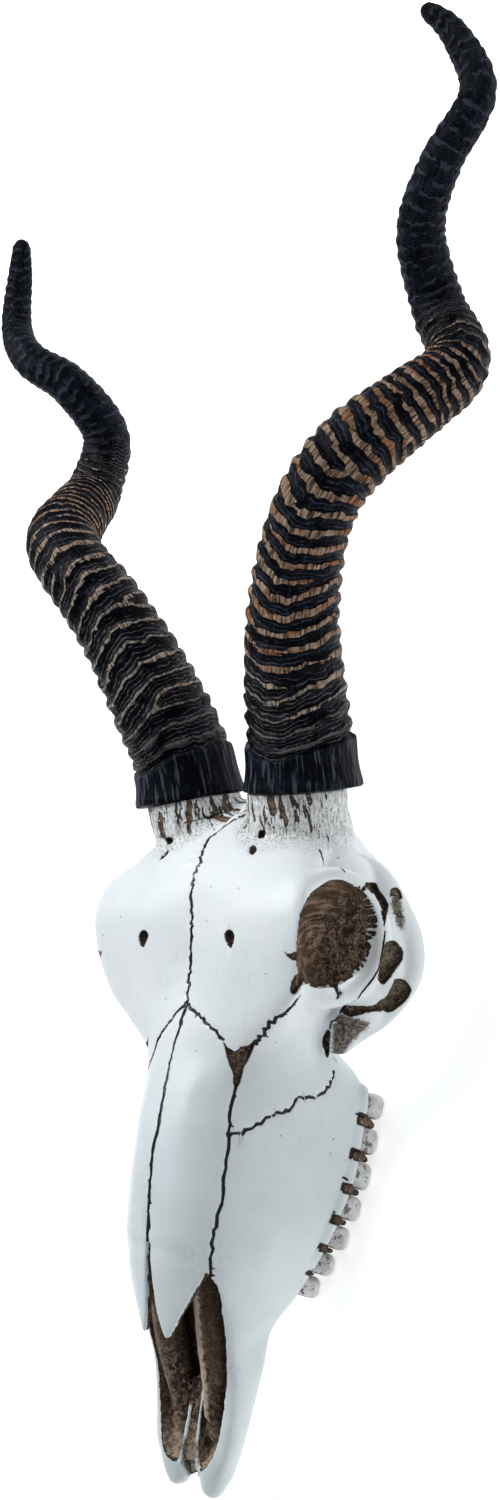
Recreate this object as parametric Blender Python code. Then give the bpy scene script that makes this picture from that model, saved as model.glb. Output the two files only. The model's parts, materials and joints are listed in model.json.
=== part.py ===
"""A kudu skull without its lower jaw, with both horns, resting palate down.

The skull is drawn in its own frame, in millimetres: x out to the skull's left,
v along the skull from the nose towards the horns, d up out of the forehead,
with the origin on the forehead midway between the two large brow holes.
One empty then tips that frame so that the cheek teeth and the occipital
condyles stand on the plane z = 0, with the nose towards -Y.
"""

import math

import bmesh
import bpy
from mathutils import Matrix, Vector

MM = 0.001

# Driving dimensions, in millimetres and degrees
REST_TILT = 28.5
FLOOR_DROP = 123.0
REST_CENTRE = 86.9
FIT_GAP = 0.3

SKIN_VOXEL = 2.0
THIN_BONE_VOXEL = 1.4
SKULL_FACES_KEPT = 0.033
HORN_SIDES = 9

# Sections of the skull from the nose to the occiput. Each row holds v, then the
# half outline as seven (x, d) points: the crown on the midline, half way to the
# upper edge, the upper edge, the side, the lower edge, the inner lower edge and
# the underside on the midline. In front of the nasal bones the crown is the
# level to which the two premaxillae rise.
SECTIONS = (
    (-276, (0, 46), (8, 49), (16, 50), (19, 44), (16, 35), (7, 34), (0, 35)),
    (-262, (0, 46), (11, 49), (21, 51), (22, 41), (18, 28), (9, 27), (0, 29)),
    (-246, (0, 43), (12, 45), (24, 46), (25, 34), (21, 21), (10, 19), (0, 22)),
    (-224, (0, 40), (14, 41), (27, 41), (28, 27), (25, 11), (12, 10), (0, 13)),
    (-208, (0, 40), (16, 41), (32, 41), (32, 22), (28, 4), (14, 3), (0, 8)),
    (-198, (0, 40), (17, 41), (35, 41), (36, 14), (31, -13), (17, -10), (0, -1)),
    (-186, (0, 40), (18, 42), (35, 42), (38, 9), (36, -25), (21, -23), (0, -9)),
    (-165, (0, 50), (17, 49), (33, 43), (42, 5), (46, -39), (29, -37), (0, -20)),
    (-150, (0, 57), (18, 54), (33, 40), (44, 1), (51, -46), (32, -45), (0, -27)),
    (-135, (0, 54), (18, 51), (34, 35), (46, -5), (53, -52), (34, -52), (0, -34)),
    (-120, (0, 50), (19, 46), (34, 30), (47, -11), (54, -59), (35, -59), (0, -41)),
    (-105, (0, 46), (19, 41), (34, 24), (48, -18), (54, -65), (36, -67), (0, -49)),
    (-90, (0, 39), (19, 35), (34, 18), (49, -22), (53, -62), (38, -72), (0, -56)),
    (-75, (0, 31), (19, 27), (35, 12), (50, -20), (52, -49), (35, -66), (0, -62)),
    (-60, (0, 23), (24, 17), (40, 4), (55, -18), (52, -46), (33, -70), (0, -67)),
    (-45, (0, 16), (28, 12), (52, 0), (58, -22), (53, -54), (32, -78), (0, -74)),
    (-30, (0, 8), (34, 7), (68, -2), (60, -25), (57, -64), (33, -90), (0, -88)),
    (-15, (0, 2), (38, 4), (76, -3), (59, -28), (58, -70), (34, -102), (0, -98)),
    (0, (0, -1), (38, 1), (79, -4), (59, -30), (58, -75), (34, -110), (0, -106)),
    (15, (0, -4), (38, -3), (79, -7), (62, -34), (59, -82), (33, -119), (0, -115)),
    (30, (0, -9), (38, -10), (77, -14), (68, -45), (60, -88), (31, -127), (0, -123)),
    (45, (0, -20), (34, -22), (59, -30), (62, -58), (46, -93), (27, -124), (0, -126)),
    (58, (0, -42), (30, -38), (46, -46), (50, -66), (38, -94), (24, -116), (0, -120)),
    (68, (0, -62), (20, -60), (34, -68), (36, -82), (28, -98), (17, -108), (0, -112)),
)

# The left nasal bone towards its point: v, inner and outer edge, height of
# each of those edges and thickness
NASAL_SECTIONS = (
    (-140, 0.0, 33, 54, 36, 9),
    (-152, 0.0, 33, 57.5, 41, 8),
    (-163, 0.3, 32.5, 59.5, 45, 7),
    (-174, 0.8, 27.5, 60.5, 50, 6),
    (-184, 1.6, 21, 61, 54.5, 5.5),
    (-191, 2.8, 16, 61, 57, 5),
    (-196, 5, 12.5, 60.5, 59, 4.5),
)

# The left scroll of bone inside the nose, and the strip in front of it: x, v, d, radius
NOSE_SCROLL = (
    (10, -150, 32, 7),
    (10, -175, 30, 7.5),
    (10.5, -200, 29, 7.5),
    (10, -220, 31, 7),
    (9, -236, 32, 5.5),
)
PALATE_STRIP = ((4, -222, 33, 2.8), (4.6, -240, 37, 2.6), (5, -256, 42, 2.6), (7, -270, 46, 3))

# Centre line of the left horn sheath, from its mouth to its tip: x, v, d and radius
HORN_LINE = (
    (45.5, 69, -56.5, 28.5),
    (48.5, 99, -56, 28.5),
    (57, 135, -49, 27),
    (68, 167, -43, 25),
    (86, 199, -38.5, 23.5),
    (105, 223, -37.5, 22),
    (121, 244, -48, 20.5),
    (132, 263, -74, 18.5),
    (149, 283, -104, 16.5),
    (140, 317, -109, 14.5),
    (147, 351, -91, 12.5),
    (172, 375, -80, 10.5),
    (193, 404, -89, 9),
    (183, 438, -90, 7),
    (170, 456, -85, 4.5),
)
COLLAR_LENGTH = 26.0
COLLAR_RADIUS = 33.0
COLLAR_TOP_RADIUS = 31.0
COLLAR_ROOM = 46.0
SOCKET_DEPTH = 30.0
SOCKET_MOUTH_RADIUS = 25.0
SOCKET_END_RADIUS = 19.0
CORE_CLEARANCE = 1.2
CORE_ROOT = 8.0
RIDGE_PITCH_BASE = 9.5
RIDGE_PITCH_TIP = 8.5
RIDGE_HEIGHT = 2.4
GROOVE_UNDER_COLLAR = 1.5

# Cheek teeth of the left side from the back one forwards: x, v and d of the
# middle of each visible crown
TOOTH_ROW = (
    (50, -109, -74),
    (50.5, -126, -65),
    (50, -143, -57),
    (47.5, -158, -47.5),
    (43, -172, -39.5),
    (36.5, -185, -32.5),
    (29, -196, -26),
)
TOOTH_LENGTH = 12.0
TOOTH_WIDTH = 11.0
TOOTH_ROOT = 15.0
TOOTH_BEVEL = 2.5
SOCKET_BELOW_GROUND = 6.0


def plain_material(name, colour, roughness):
    material = bpy.data.materials.new(name)
    material.use_nodes = True
    shader = material.node_tree.nodes["Principled BSDF"]
    shader.inputs["Base Color"].default_value = (*colour, 1.0)
    shader.inputs["Roughness"].default_value = roughness
    shader.inputs["Metallic"].default_value = 0.0
    material.diffuse_color = (*colour, 1.0)
    return material


def smooth_point(points, place):
    """The point at a place, counted in spans, of a smooth curve through all the points."""
    span = min(int(place), len(points) - 2)
    t = place - span
    before = points[max(span - 1, 0)]
    here, there = points[span], points[span + 1]
    after = points[min(span + 2, len(points) - 1)]
    return tuple(
        0.5
        * (
            2 * b
            + (c - a) * t
            + (2 * a - 5 * b + 4 * c - d) * t * t
            + (3 * b - a - 3 * c + d) * t * t * t
        )
        for a, b, c, d in zip(before, here, there, after)
    )


def smooth_curve(points, steps):
    """The points with steps more of them in each span, on a smooth curve."""
    count = (len(points) - 1) * steps
    return [smooth_point(points, i / steps) for i in range(count + 1)]


def add_rings(mesh, rings):
    """A closed skin over rings of points, with a fan of faces over each end."""
    loops = [[mesh.verts.new(point) for point in ring] for ring in rings]
    for low, high in zip(loops, loops[1:]):
        for i in range(len(low)):
            j = (i + 1) % len(low)
            mesh.faces.new((low[i], low[j], high[j], high[i]))
    for loop, end in ((loops[0], 1), (loops[-1], -1)):
        centre = mesh.verts.new(sum((vert.co for vert in loop), Vector()) / len(loop))
        for i in range(len(loop)):
            pair = (loop[(i + 1) % len(loop)], loop[i])
            mesh.faces.new((*pair[::end], centre))


def across_frames(line):
    """Two unit vectors across a line at each of its points, carried along without twist."""
    frames = []
    side = Vector((1, 0, 0))
    for i, point in enumerate(line):
        along = (line[min(i + 1, len(line) - 1)] - line[max(i - 1, 0)]).normalized()
        side = (side - along * side.dot(along)).normalized()
        frames.append((side, along.cross(side)))
    return frames


def add_tube(mesh, stations, sides=12, steps=4):
    """A round bar through stations of x, v, d and radius, with rounded ends."""
    dense = smooth_curve(stations, steps)
    line = [Vector(station[:3]) for station in dense]
    radii = [station[3] for station in dense]
    first = (line[0] - line[1]).normalized() * radii[0]
    last = (line[-1] - line[-2]).normalized() * radii[-1]
    line = [line[0] + first * 0.9, line[0] + first * 0.6, *line]
    line += [line[-1] + last * 0.6, line[-1] + last * 0.9]
    radii = [radii[0] * 0.4, radii[0] * 0.8, *radii, radii[-1] * 0.8, radii[-1] * 0.4]
    rings = []
    for point, radius, (side, up) in zip(line, radii, across_frames(line)):
        turns = [2 * math.pi * k / sides for k in range(sides)]
        rings.append(
            [point + (side * math.cos(a) + up * math.sin(a)) * radius for a in turns]
        )
    add_rings(mesh, rings)


def add_lump(mesh, centre, radii, turn=0.0):
    """An ellipsoid, turned about x by some degrees."""
    place = Matrix.Translation(centre) @ Matrix.Rotation(math.radians(turn), 4, "X")
    place = place @ Matrix.Diagonal((*radii, 1.0))
    bmesh.ops.create_uvsphere(mesh, u_segments=20, v_segments=12, radius=1.0, matrix=place)


def both_sides(add, mesh, stations, **settings):
    """The same round bar on the skull's left and, mirrored, on its right."""
    for side in (1, -1):
        add(mesh, [(side * s[0], *s[1:]) for s in stations], **settings)


def both_lumps(mesh, centre, radii, turn=0.0):
    for side in (1, -1):
        add_lump(mesh, (side * centre[0], *centre[1:]), radii, turn)


def add_face_and_braincase(mesh):
    """The long body of the skull, a skin over its sections."""
    rows = [(row[0], *(number for point in row[1:] for number in point)) for row in SECTIONS]
    rings = []
    for row in smooth_curve(rows, 3):
        v, half = row[0], [(row[i], row[i + 1]) for i in range(1, 15, 2)]
        outline = smooth_curve(half, 3)
        left = [Vector((max(x, 0), v, d)) for x, d in outline]
        right = [Vector((-point.x, point.y, point.z)) for point in left[-2:0:-1]]
        rings.append(left + right)
    add_rings(mesh, rings)


def add_nasal_bones(mesh):
    """The two roof bones over the nose, each ending in its own point."""
    for side in (1, -1):
        rings = []
        for v, inner, outer, top, edge, thick in NASAL_SECTIONS:
            middle = 0.5 * (inner + outer)
            crown = 0.5 * (top + edge) + 0.14 * (outer - inner) * (top - edge) / 15
            above = smooth_curve(((inner, top), (middle, crown), (outer, edge)), 3)
            below = [(x, d - thick) for x, d in reversed(above)]
            rings.append([Vector((side * x, v, d)) for x, d in above + below])
        add_rings(mesh, rings)


def add_orbits_and_arches(mesh):
    """The rim of bone round each eye and the cheek arch below and behind it."""
    rim = (
        (63, -28, -10, 5),
        (73, -15, -7, 4.5),
        (77, 2, -7, 4.5),
        (78, 17, -11, 4.5),
        (79, 26, -20, 5),
        (84, 25, -35, 5),
        (86, 14, -51, 5),
        (85, -3, -60, 5.5),
        (81, -20, -61, 6),
        (74, -33, -54, 7),
        (66, -38, -39, 7),
        (61, -36, -23, 7),
        (63, -28, -10, 5),
    )
    both_sides(add_tube, mesh, rim)
    arch = (
        (48, 44, -80, 12),
        (60, 34, -76, 11),
        (72, 17, -80, 9.5),
        (78, -3, -87, 9),
        (78, -20, -90, 9),
        (77, -36, -89, 9),
        (74, -49, -84, 8.5),
        (68, -59, -75, 8),
        (60, -63, -62, 8),
        (54, -63, -50, 11),
    )
    both_sides(add_tube, mesh, arch)
    both_lumps(mesh, (70, -3, -34), (15, 31, 30))
    both_lumps(mesh, (66, -16, -74), (17, 40, 20), 6)
    both_lumps(mesh, (62, -46, -62), (13, 18, 15), 10)
    both_lumps(mesh, (66, 27, -58), (16, 20, 30), 10)


def add_back_of_skull(mesh):
    """Pedicles, braincase, condyles and the processes beside them."""
    pedicle = (
        (38, 28, -60, 30),
        (41, 45, -58, 30),
        (43.5, 58, -57, 28.5),
        (45.5, 68, -56.5, 27.5),
        (46.5, 76, -56.5, 27),
    )
    both_sides(add_tube, mesh, pedicle, sides=20)
    add_lump(mesh, (0, 38, -94), (43, 38, 34), -28)
    add_tube(mesh, ((0, -10, -104, 12), (0, 10, -122, 13), (0, 24, -138, 14)))
    both_sides(add_tube, mesh, ((11, 30, -132, 11), (12, 23, -142, 9.5), (11, 17, -146, 8)))
    both_sides(add_tube, mesh, ((27, 42, -106, 8), (25, 30, -121, 6), (24, 18, -134, 4)))
    both_lumps(mesh, (28, 10, -122), (9, 13, 9), -28)
    both_sides(add_tube, mesh, ((20, -62, -72, 4), (19, -40, -86, 4), (17, -18, -104, 4)))


def add_nose(mesh):
    """Rounded tips of the premaxillae and what lies between them."""
    both_sides(add_tube, mesh, ((16, -258, 43, 7), (15, -268, 44, 8), (13.2, -276, 45, 7.2)))


def add_inner_nose(mesh):
    """Scrolls of bone inside the nose and the strips in front of them."""
    both_sides(add_tube, mesh, NOSE_SCROLL)
    both_sides(add_tube, mesh, PALATE_STRIP)
    add_nasal_bones(mesh)


def add_carving(mesh):
    """What is hollowed out of the skull, as solids."""
    both_lumps(mesh, (96, -3, -30), (38, 26, 27.5))
    both_lumps(mesh, (84, 10, -68), (7, 12, 4.5), 15)
    both_lumps(mesh, (86, -27, -73), (10, 12, 6), 8)
    both_lumps(mesh, (82, -47, -72), (9, 8, 7), 30)
    both_lumps(mesh, (69, -58, -58), (9, 11, 8), 20)
    trough = (
        (0, -150, 36, 20, 20),
        (0, -162, 38, 28, 22),
        (0, -172, 42, 32, 26),
        (0, -185, 43, 33, 27),
        (0, -198, 43, 32.5, 27),
        (0, -210, 44, 29.5, 27),
        (0, -225, 45, 25, 25),
        (0, -246, 48, 20.5, 22),
        (0, -262, 52, 17, 19),
        (0, -274, 56, 11, 16),
        (0, -290, 60, 6, 15),
    )
    rings = []
    for x, v, d, wide, deep in smooth_curve(trough, 3):
        turns = [2 * math.pi * k / 20 for k in range(20)]
        rings.append([Vector((x + wide * math.sin(a), v, d + deep * math.cos(a))) for a in turns])
    add_rings(mesh, rings)
    add_tube(mesh, ((0, -292, 44, 3), (0, -276, 43, 2.6), (0, -266, 44, 2)))
    choana = ((0, -62, -88, 13), (0, -48, -88, 14), (0, -30, -96, 10))
    add_tube(mesh, choana)
    add_tube(mesh, ((0, 60, -152, 12), (0, 44, -136, 11), (0, 30, -122, 9)))
    both_lumps(mesh, (31.5, 0, 0), (3, 5, 5))


def helper_object(name, make, frame):
    """A solid that shapes another one and isn't part of the skull itself."""
    mesh = bmesh.new()
    make(mesh)
    bmesh.ops.scale(mesh, vec=(MM, MM, MM), verts=mesh.verts)
    bmesh.ops.recalc_face_normals(mesh, faces=mesh.faces)
    data = bpy.data.meshes.new(name)
    mesh.to_mesh(data)
    mesh.free()
    helper = bpy.data.objects.new(name, data)
    bpy.context.scene.collection.objects.link(helper)
    helper.parent = frame
    return helper


def hide_helper(helper):
    helper.hide_render = True
    helper.display_type = "WIRE"


def fuse_skin(target, voxel, passes):
    skin = target.modifiers.new("one skin", "REMESH")
    skin.mode = "VOXEL"
    skin.voxel_size = voxel * MM
    relax = target.modifiers.new("relaxed skin", "SMOOTH")
    relax.factor = 0.5
    relax.iterations = passes


def shape_with(target, operation, helper):
    cut = target.modifiers.new(helper.name, "BOOLEAN")
    cut.operation = operation
    cut.solver = "MANIFOLD"
    cut.object = helper
    hide_helper(helper)


def horn_stations():
    """Close points along the left sheath, each x, v, d and radius, and the way to each of them."""
    dense = [Vector(point) for point in smooth_curve(HORN_LINE, 24)]
    reach = [0.0]
    for low, high in zip(dense, dense[1:]):
        reach.append(reach[-1] + (high.xyz - low.xyz).length)
    return dense, reach


def horn_at(dense, reach, place):
    for i in range(len(reach) - 1):
        if reach[i + 1] >= place:
            share = (place - reach[i]) / (reach[i + 1] - reach[i])
            return dense[i].lerp(dense[i + 1], share)
    return dense[-1]


def horn_profile(total, mouth_radius):
    """Distances along the sheath with how far its skin stands off the smooth radius there."""
    rows = [
        (0.0, COLLAR_RADIUS - mouth_radius),
        (COLLAR_LENGTH * 0.5, COLLAR_TOP_RADIUS + 1 - mouth_radius),
        (COLLAR_LENGTH, COLLAR_TOP_RADIUS - mouth_radius),
    ]
    place = COLLAR_LENGTH + GROOVE_UNDER_COLLAR
    rows.append((place, -0.3 * RIDGE_HEIGHT))
    while True:
        share = place / total
        pitch = RIDGE_PITCH_BASE + (RIDGE_PITCH_TIP - RIDGE_PITCH_BASE) * share
        height = RIDGE_HEIGHT * (1.0 - 0.65 * share)
        if place + 1.5 * pitch > total:
            break
        rows.append((place + 0.55 * pitch, 0.5 * height))
        rows.append((place + pitch, -0.5 * height))
        place += pitch
    rows.append((total - 2.0, -0.4))
    return rows


def ring_round(centre, across, up, radius, sides=HORN_SIDES):
    turns = [2 * math.pi * k / sides for k in range(sides)]
    return [centre + (across * math.cos(a) + up * math.sin(a)) * radius for a in turns]


def mirrored_rings(rings, side):
    return [[Vector((side * p.x, p.y, p.z)) for p in ring] for ring in rings]


def add_horn(mesh, side):
    """One sheath: a ridged spiral with a collar at its mouth and a socket inside that."""
    dense, reach = horn_stations()
    rows = horn_profile(reach[-1], dense[0].w)
    stations = [horn_at(dense, reach, place) for place, _ in rows]
    frames = across_frames([station.xyz for station in stations])
    across, up = frames[0]
    mouth, along = dense[0].xyz, across.cross(up)
    rings = [
        ring_round(mouth + along * SOCKET_DEPTH, across, up, SOCKET_END_RADIUS),
        ring_round(mouth, across, up, SOCKET_MOUTH_RADIUS),
    ]
    for station, (_, proud), (across, up) in zip(stations, rows, frames):
        rings.append(ring_round(station.xyz, across, up, station.w + proud))
    add_rings(mesh, mirrored_rings(rings, side))


def add_on_pedicles(mesh, low, high, low_radius, high_radius):
    """A tapered round bar on each pedicle, from one height over the sheath's mouth to another."""
    dense, reach = horn_stations()
    mouth = dense[0].xyz
    along = (horn_at(dense, reach, COLLAR_LENGTH * 0.5).xyz - mouth).normalized()
    across = (Vector((1, 0, 0)) - along * along.x).normalized()
    up = along.cross(across)
    rings = [
        ring_round(mouth + along * low, across, up, low_radius),
        ring_round(mouth + along * high, across, up, high_radius),
    ]
    for side in (1, -1):
        add_rings(mesh, mirrored_rings(rings, side))


def add_collar_rooms(mesh):
    """Space over each pedicle that the horn's collar takes up."""
    add_on_pedicles(mesh, -2 * FIT_GAP, 2 * SOCKET_DEPTH, COLLAR_ROOM, COLLAR_ROOM)


def add_horn_cores(mesh):
    """Bony plug on each pedicle that carries the sheath."""
    add_on_pedicles(
        mesh,
        -CORE_ROOT,
        SOCKET_DEPTH - 2 * CORE_CLEARANCE,
        SOCKET_MOUTH_RADIUS - CORE_CLEARANCE,
        SOCKET_END_RADIUS - CORE_CLEARANCE,
    )


def tooth_rings(place, grow, drop):
    """Corner rings of a cheek tooth, from its root down to its chewing face, drop above z = 0."""
    tilt = math.radians(REST_TILT)
    up = Vector((0, math.sin(tilt), math.cos(tilt)))
    front = Vector((0, -math.cos(tilt), math.sin(tilt)))
    centre = Vector(place)
    level = centre.dot(up)
    floor = drop - FLOOR_DROP
    rings = []
    for share, height in (
        (0.8, level + TOOTH_ROOT + grow),
        (1.0, floor + TOOTH_BEVEL),
        (0.78, floor),
    ):
        middle = centre + up * (height - level)
        half_long, half_wide = share * TOOTH_LENGTH / 2 + grow, share * TOOTH_WIDTH / 2 + grow
        corners = []
        for k in range(8):
            angle = math.radians(22.5 + 45 * k)
            square = 1 / max(abs(math.cos(angle)), abs(math.sin(angle)))
            corners.append(
                middle
                + Vector((1, 0, 0)) * half_wide * math.cos(angle) * square
                + front * half_long * math.sin(angle) * square
            )
        rings.append(corners)
    return rings


def add_tooth_sockets(mesh):
    for side in (1, -1):
        for place in TOOTH_ROW:
            rings = tooth_rings(place, FIT_GAP + 0.1, -SOCKET_BELOW_GROUND)
            add_rings(mesh, mirrored_rings(rings, side))


def add_ground(mesh):
    """All that lies below the plane on which the skull stands."""
    place = Matrix.Translation((0, 0, -40)) @ Matrix.Diagonal((400, 600, 80, 1.0))
    bmesh.ops.create_cube(mesh, size=1.0, matrix=place)


def clear_scene():
    for thing in list(bpy.data.objects):
        bpy.data.objects.remove(thing)


def build():
    clear_scene()
    bone = plain_material("bone", (0.82, 0.83, 0.82), 0.42)
    horn = plain_material("horn", (0.035, 0.033, 0.036), 0.5)
    enamel = plain_material("enamel", (0.78, 0.77, 0.73), 0.3)

    rest = bpy.data.objects.new("rest_pose", None)
    bpy.context.scene.collection.objects.link(rest)
    rest.rotation_euler.x = math.radians(REST_TILT)
    rest.location = (0, -REST_CENTRE * MM, FLOOR_DROP * MM)

    skull = helper_object(
        "skull",
        lambda mesh: [
            add(mesh)
            for add in (
                add_face_and_braincase,
                add_nasal_bones,
                add_orbits_and_arches,
                add_back_of_skull,
                add_nose,
            )
        ],
        rest,
    )
    skull.data.materials.append(bone)
    fuse_skin(skull, SKIN_VOXEL, 4)
    carving = helper_object("carving", add_carving, rest)
    fuse_skin(carving, SKIN_VOXEL, 1)
    shape_with(skull, "DIFFERENCE", carving)
    inner = helper_object("inner_nose", add_inner_nose, rest)
    fuse_skin(inner, THIN_BONE_VOXEL, 1)
    shape_with(skull, "UNION", inner)
    fuse_skin(skull, SKIN_VOXEL, 2)
    fewer = skull.modifiers.new("fewer faces", "DECIMATE")
    fewer.ratio = SKULL_FACES_KEPT
    shape_with(skull, "DIFFERENCE", helper_object("collar_rooms", add_collar_rooms, rest))
    shape_with(skull, "UNION", helper_object("horn_cores", add_horn_cores, rest))
    shape_with(skull, "DIFFERENCE", helper_object("tooth_sockets", add_tooth_sockets, rest))

    ground = helper_object("ground", add_ground, None)
    shape_with(skull, "DIFFERENCE", ground)

    for side, word in ((1, "left"), (-1, "right")):
        sheath = helper_object(f"horn_{word}", lambda mesh: add_horn(mesh, side), rest)
        sheath.data.materials.append(horn)
        for number, place in enumerate(TOOTH_ROW, 1):
            tooth = helper_object(
                f"cheek_tooth_{word}_{number}",
                lambda mesh: add_rings(mesh, mirrored_rings(tooth_rings(place, 0, 0), side)),
                rest,
            )
            tooth.data.materials.append(enamel)


build()
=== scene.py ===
# %% [markdown]
# # A kudu skull, finished in Blender
#
# The real object is a bleached antelope skull with its two horns, laid palate down.
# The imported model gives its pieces, sizes and places. This script gives it its looks:
# bone with sutures and stained hollows, ridged horn sheaths and worn cheek teeth.
# The skull is drawn in its own frame, in millimetres: x to its left, v along it from
# the nose to the horns, d up out of the forehead, with the origin between the brow holes.

import json
import math

import bpy
import numpy as np
from mathutils import Euler, Matrix, Vector, noise
from mathutils.bvhtree import BVHTree
from mathutils.kdtree import KDTree

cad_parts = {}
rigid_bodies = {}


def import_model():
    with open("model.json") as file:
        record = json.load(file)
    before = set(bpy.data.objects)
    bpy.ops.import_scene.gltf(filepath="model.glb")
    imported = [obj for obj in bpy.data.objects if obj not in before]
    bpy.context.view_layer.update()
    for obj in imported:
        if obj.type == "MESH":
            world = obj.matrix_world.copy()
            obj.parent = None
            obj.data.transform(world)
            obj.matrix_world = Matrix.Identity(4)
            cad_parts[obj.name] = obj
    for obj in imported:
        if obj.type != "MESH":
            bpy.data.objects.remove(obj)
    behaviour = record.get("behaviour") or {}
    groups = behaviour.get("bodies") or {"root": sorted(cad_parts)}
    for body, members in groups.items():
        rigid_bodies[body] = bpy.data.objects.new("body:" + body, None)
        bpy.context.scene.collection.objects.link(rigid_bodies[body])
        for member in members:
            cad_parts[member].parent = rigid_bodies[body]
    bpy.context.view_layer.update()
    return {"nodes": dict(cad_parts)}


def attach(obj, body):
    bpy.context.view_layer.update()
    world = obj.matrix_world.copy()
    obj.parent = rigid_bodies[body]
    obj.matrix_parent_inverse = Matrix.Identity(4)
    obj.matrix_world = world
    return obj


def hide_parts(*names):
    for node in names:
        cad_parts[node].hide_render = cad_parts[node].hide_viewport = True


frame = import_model()
print("nodes:", len(frame["nodes"]))

MM = 0.001
REST_TILT = math.radians(28.5)
REST_PLACE = Vector((0, -86.9 * MM, 123.0 * MM))
TO_REST = Matrix.Translation(REST_PLACE) @ Matrix.Rotation(REST_TILT, 4, "X")
TO_SKULL = TO_REST.inverted()

# %% [markdown]
# ## The camera
#
# A photograph of a symmetrical thing gives its own viewpoint away, because each pair of
# features shows where the middle plane lies. The camera stands on the skull's left,
# above it, and the long way of the picture follows the skull.

# %% The camera at the photograph's angle
CAMERA_PLACE = Vector((578.8, 96.7, 519.2)) * MM
CAMERA_AXES = (
    (0.70436, -0.13061, -0.69773),
    (0.09279, 0.99143, -0.09192),
    (0.70376, 0.0, 0.71043),
)
LENS = 34.205
SENSOR = 36.0

camera_data = bpy.data.cameras.new("camera")
camera_data.lens = LENS
camera_data.sensor_width = SENSOR
camera_data.sensor_fit = "AUTO"
camera = bpy.data.objects.new("camera", camera_data)
bpy.context.scene.collection.objects.link(camera)
turn = Matrix(CAMERA_AXES).transposed().to_4x4()
camera.matrix_world = TO_REST @ Matrix.Translation(CAMERA_PLACE) @ turn
bpy.context.scene.camera = camera
print("camera at", [round(c, 3) for c in camera.matrix_world.translation])

# %% [markdown]
# ## Words for shader maths
#
# A procedural finish is mostly arithmetic on patterns. Wrapping a socket in a small class
# lets that arithmetic be written as plain expressions, and each operator adds its node.

# %% A socket that takes part in expressions
class Wire:
    """A number, colour or vector socket of a shader, with arithmetic."""

    def __init__(self, desk, socket):
        self.desk = desk
        self.socket = socket

    def maths(self, operation, *others):
        sockets = {i: value for i, value in enumerate((self, *others))}
        return self.desk.node("ShaderNodeMath", {"operation": operation}, sockets)

    def __add__(self, other):
        return self.maths("ADD", other)

    def __sub__(self, other):
        return self.maths("SUBTRACT", other)

    def __mul__(self, other):
        return self.maths("MULTIPLY", other)

    def __truediv__(self, other):
        return self.maths("DIVIDE", other)

    def __rsub__(self, other):
        return self.desk.number(other).maths("SUBTRACT", self)

    __radd__ = __add__
    __rmul__ = __mul__

    def most(self, other):
        return self.maths("MAXIMUM", other)

    def least(self, other):
        return self.maths("MINIMUM", other)

    def size(self):
        return self.maths("ABSOLUTE")

    def ramp(self, low, high):
        """0 below low, 1 above high and a smooth change between; high may be the lower."""
        flip = low > high
        ends = {"From Min": min(low, high), "From Max": max(low, high)}
        settings = {"interpolation_type": "SMOOTHSTEP"}
        eased = self.desk.node("ShaderNodeMapRange", settings, {"Value": self, **ends})
        return 1 - eased if flip else eased

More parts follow.
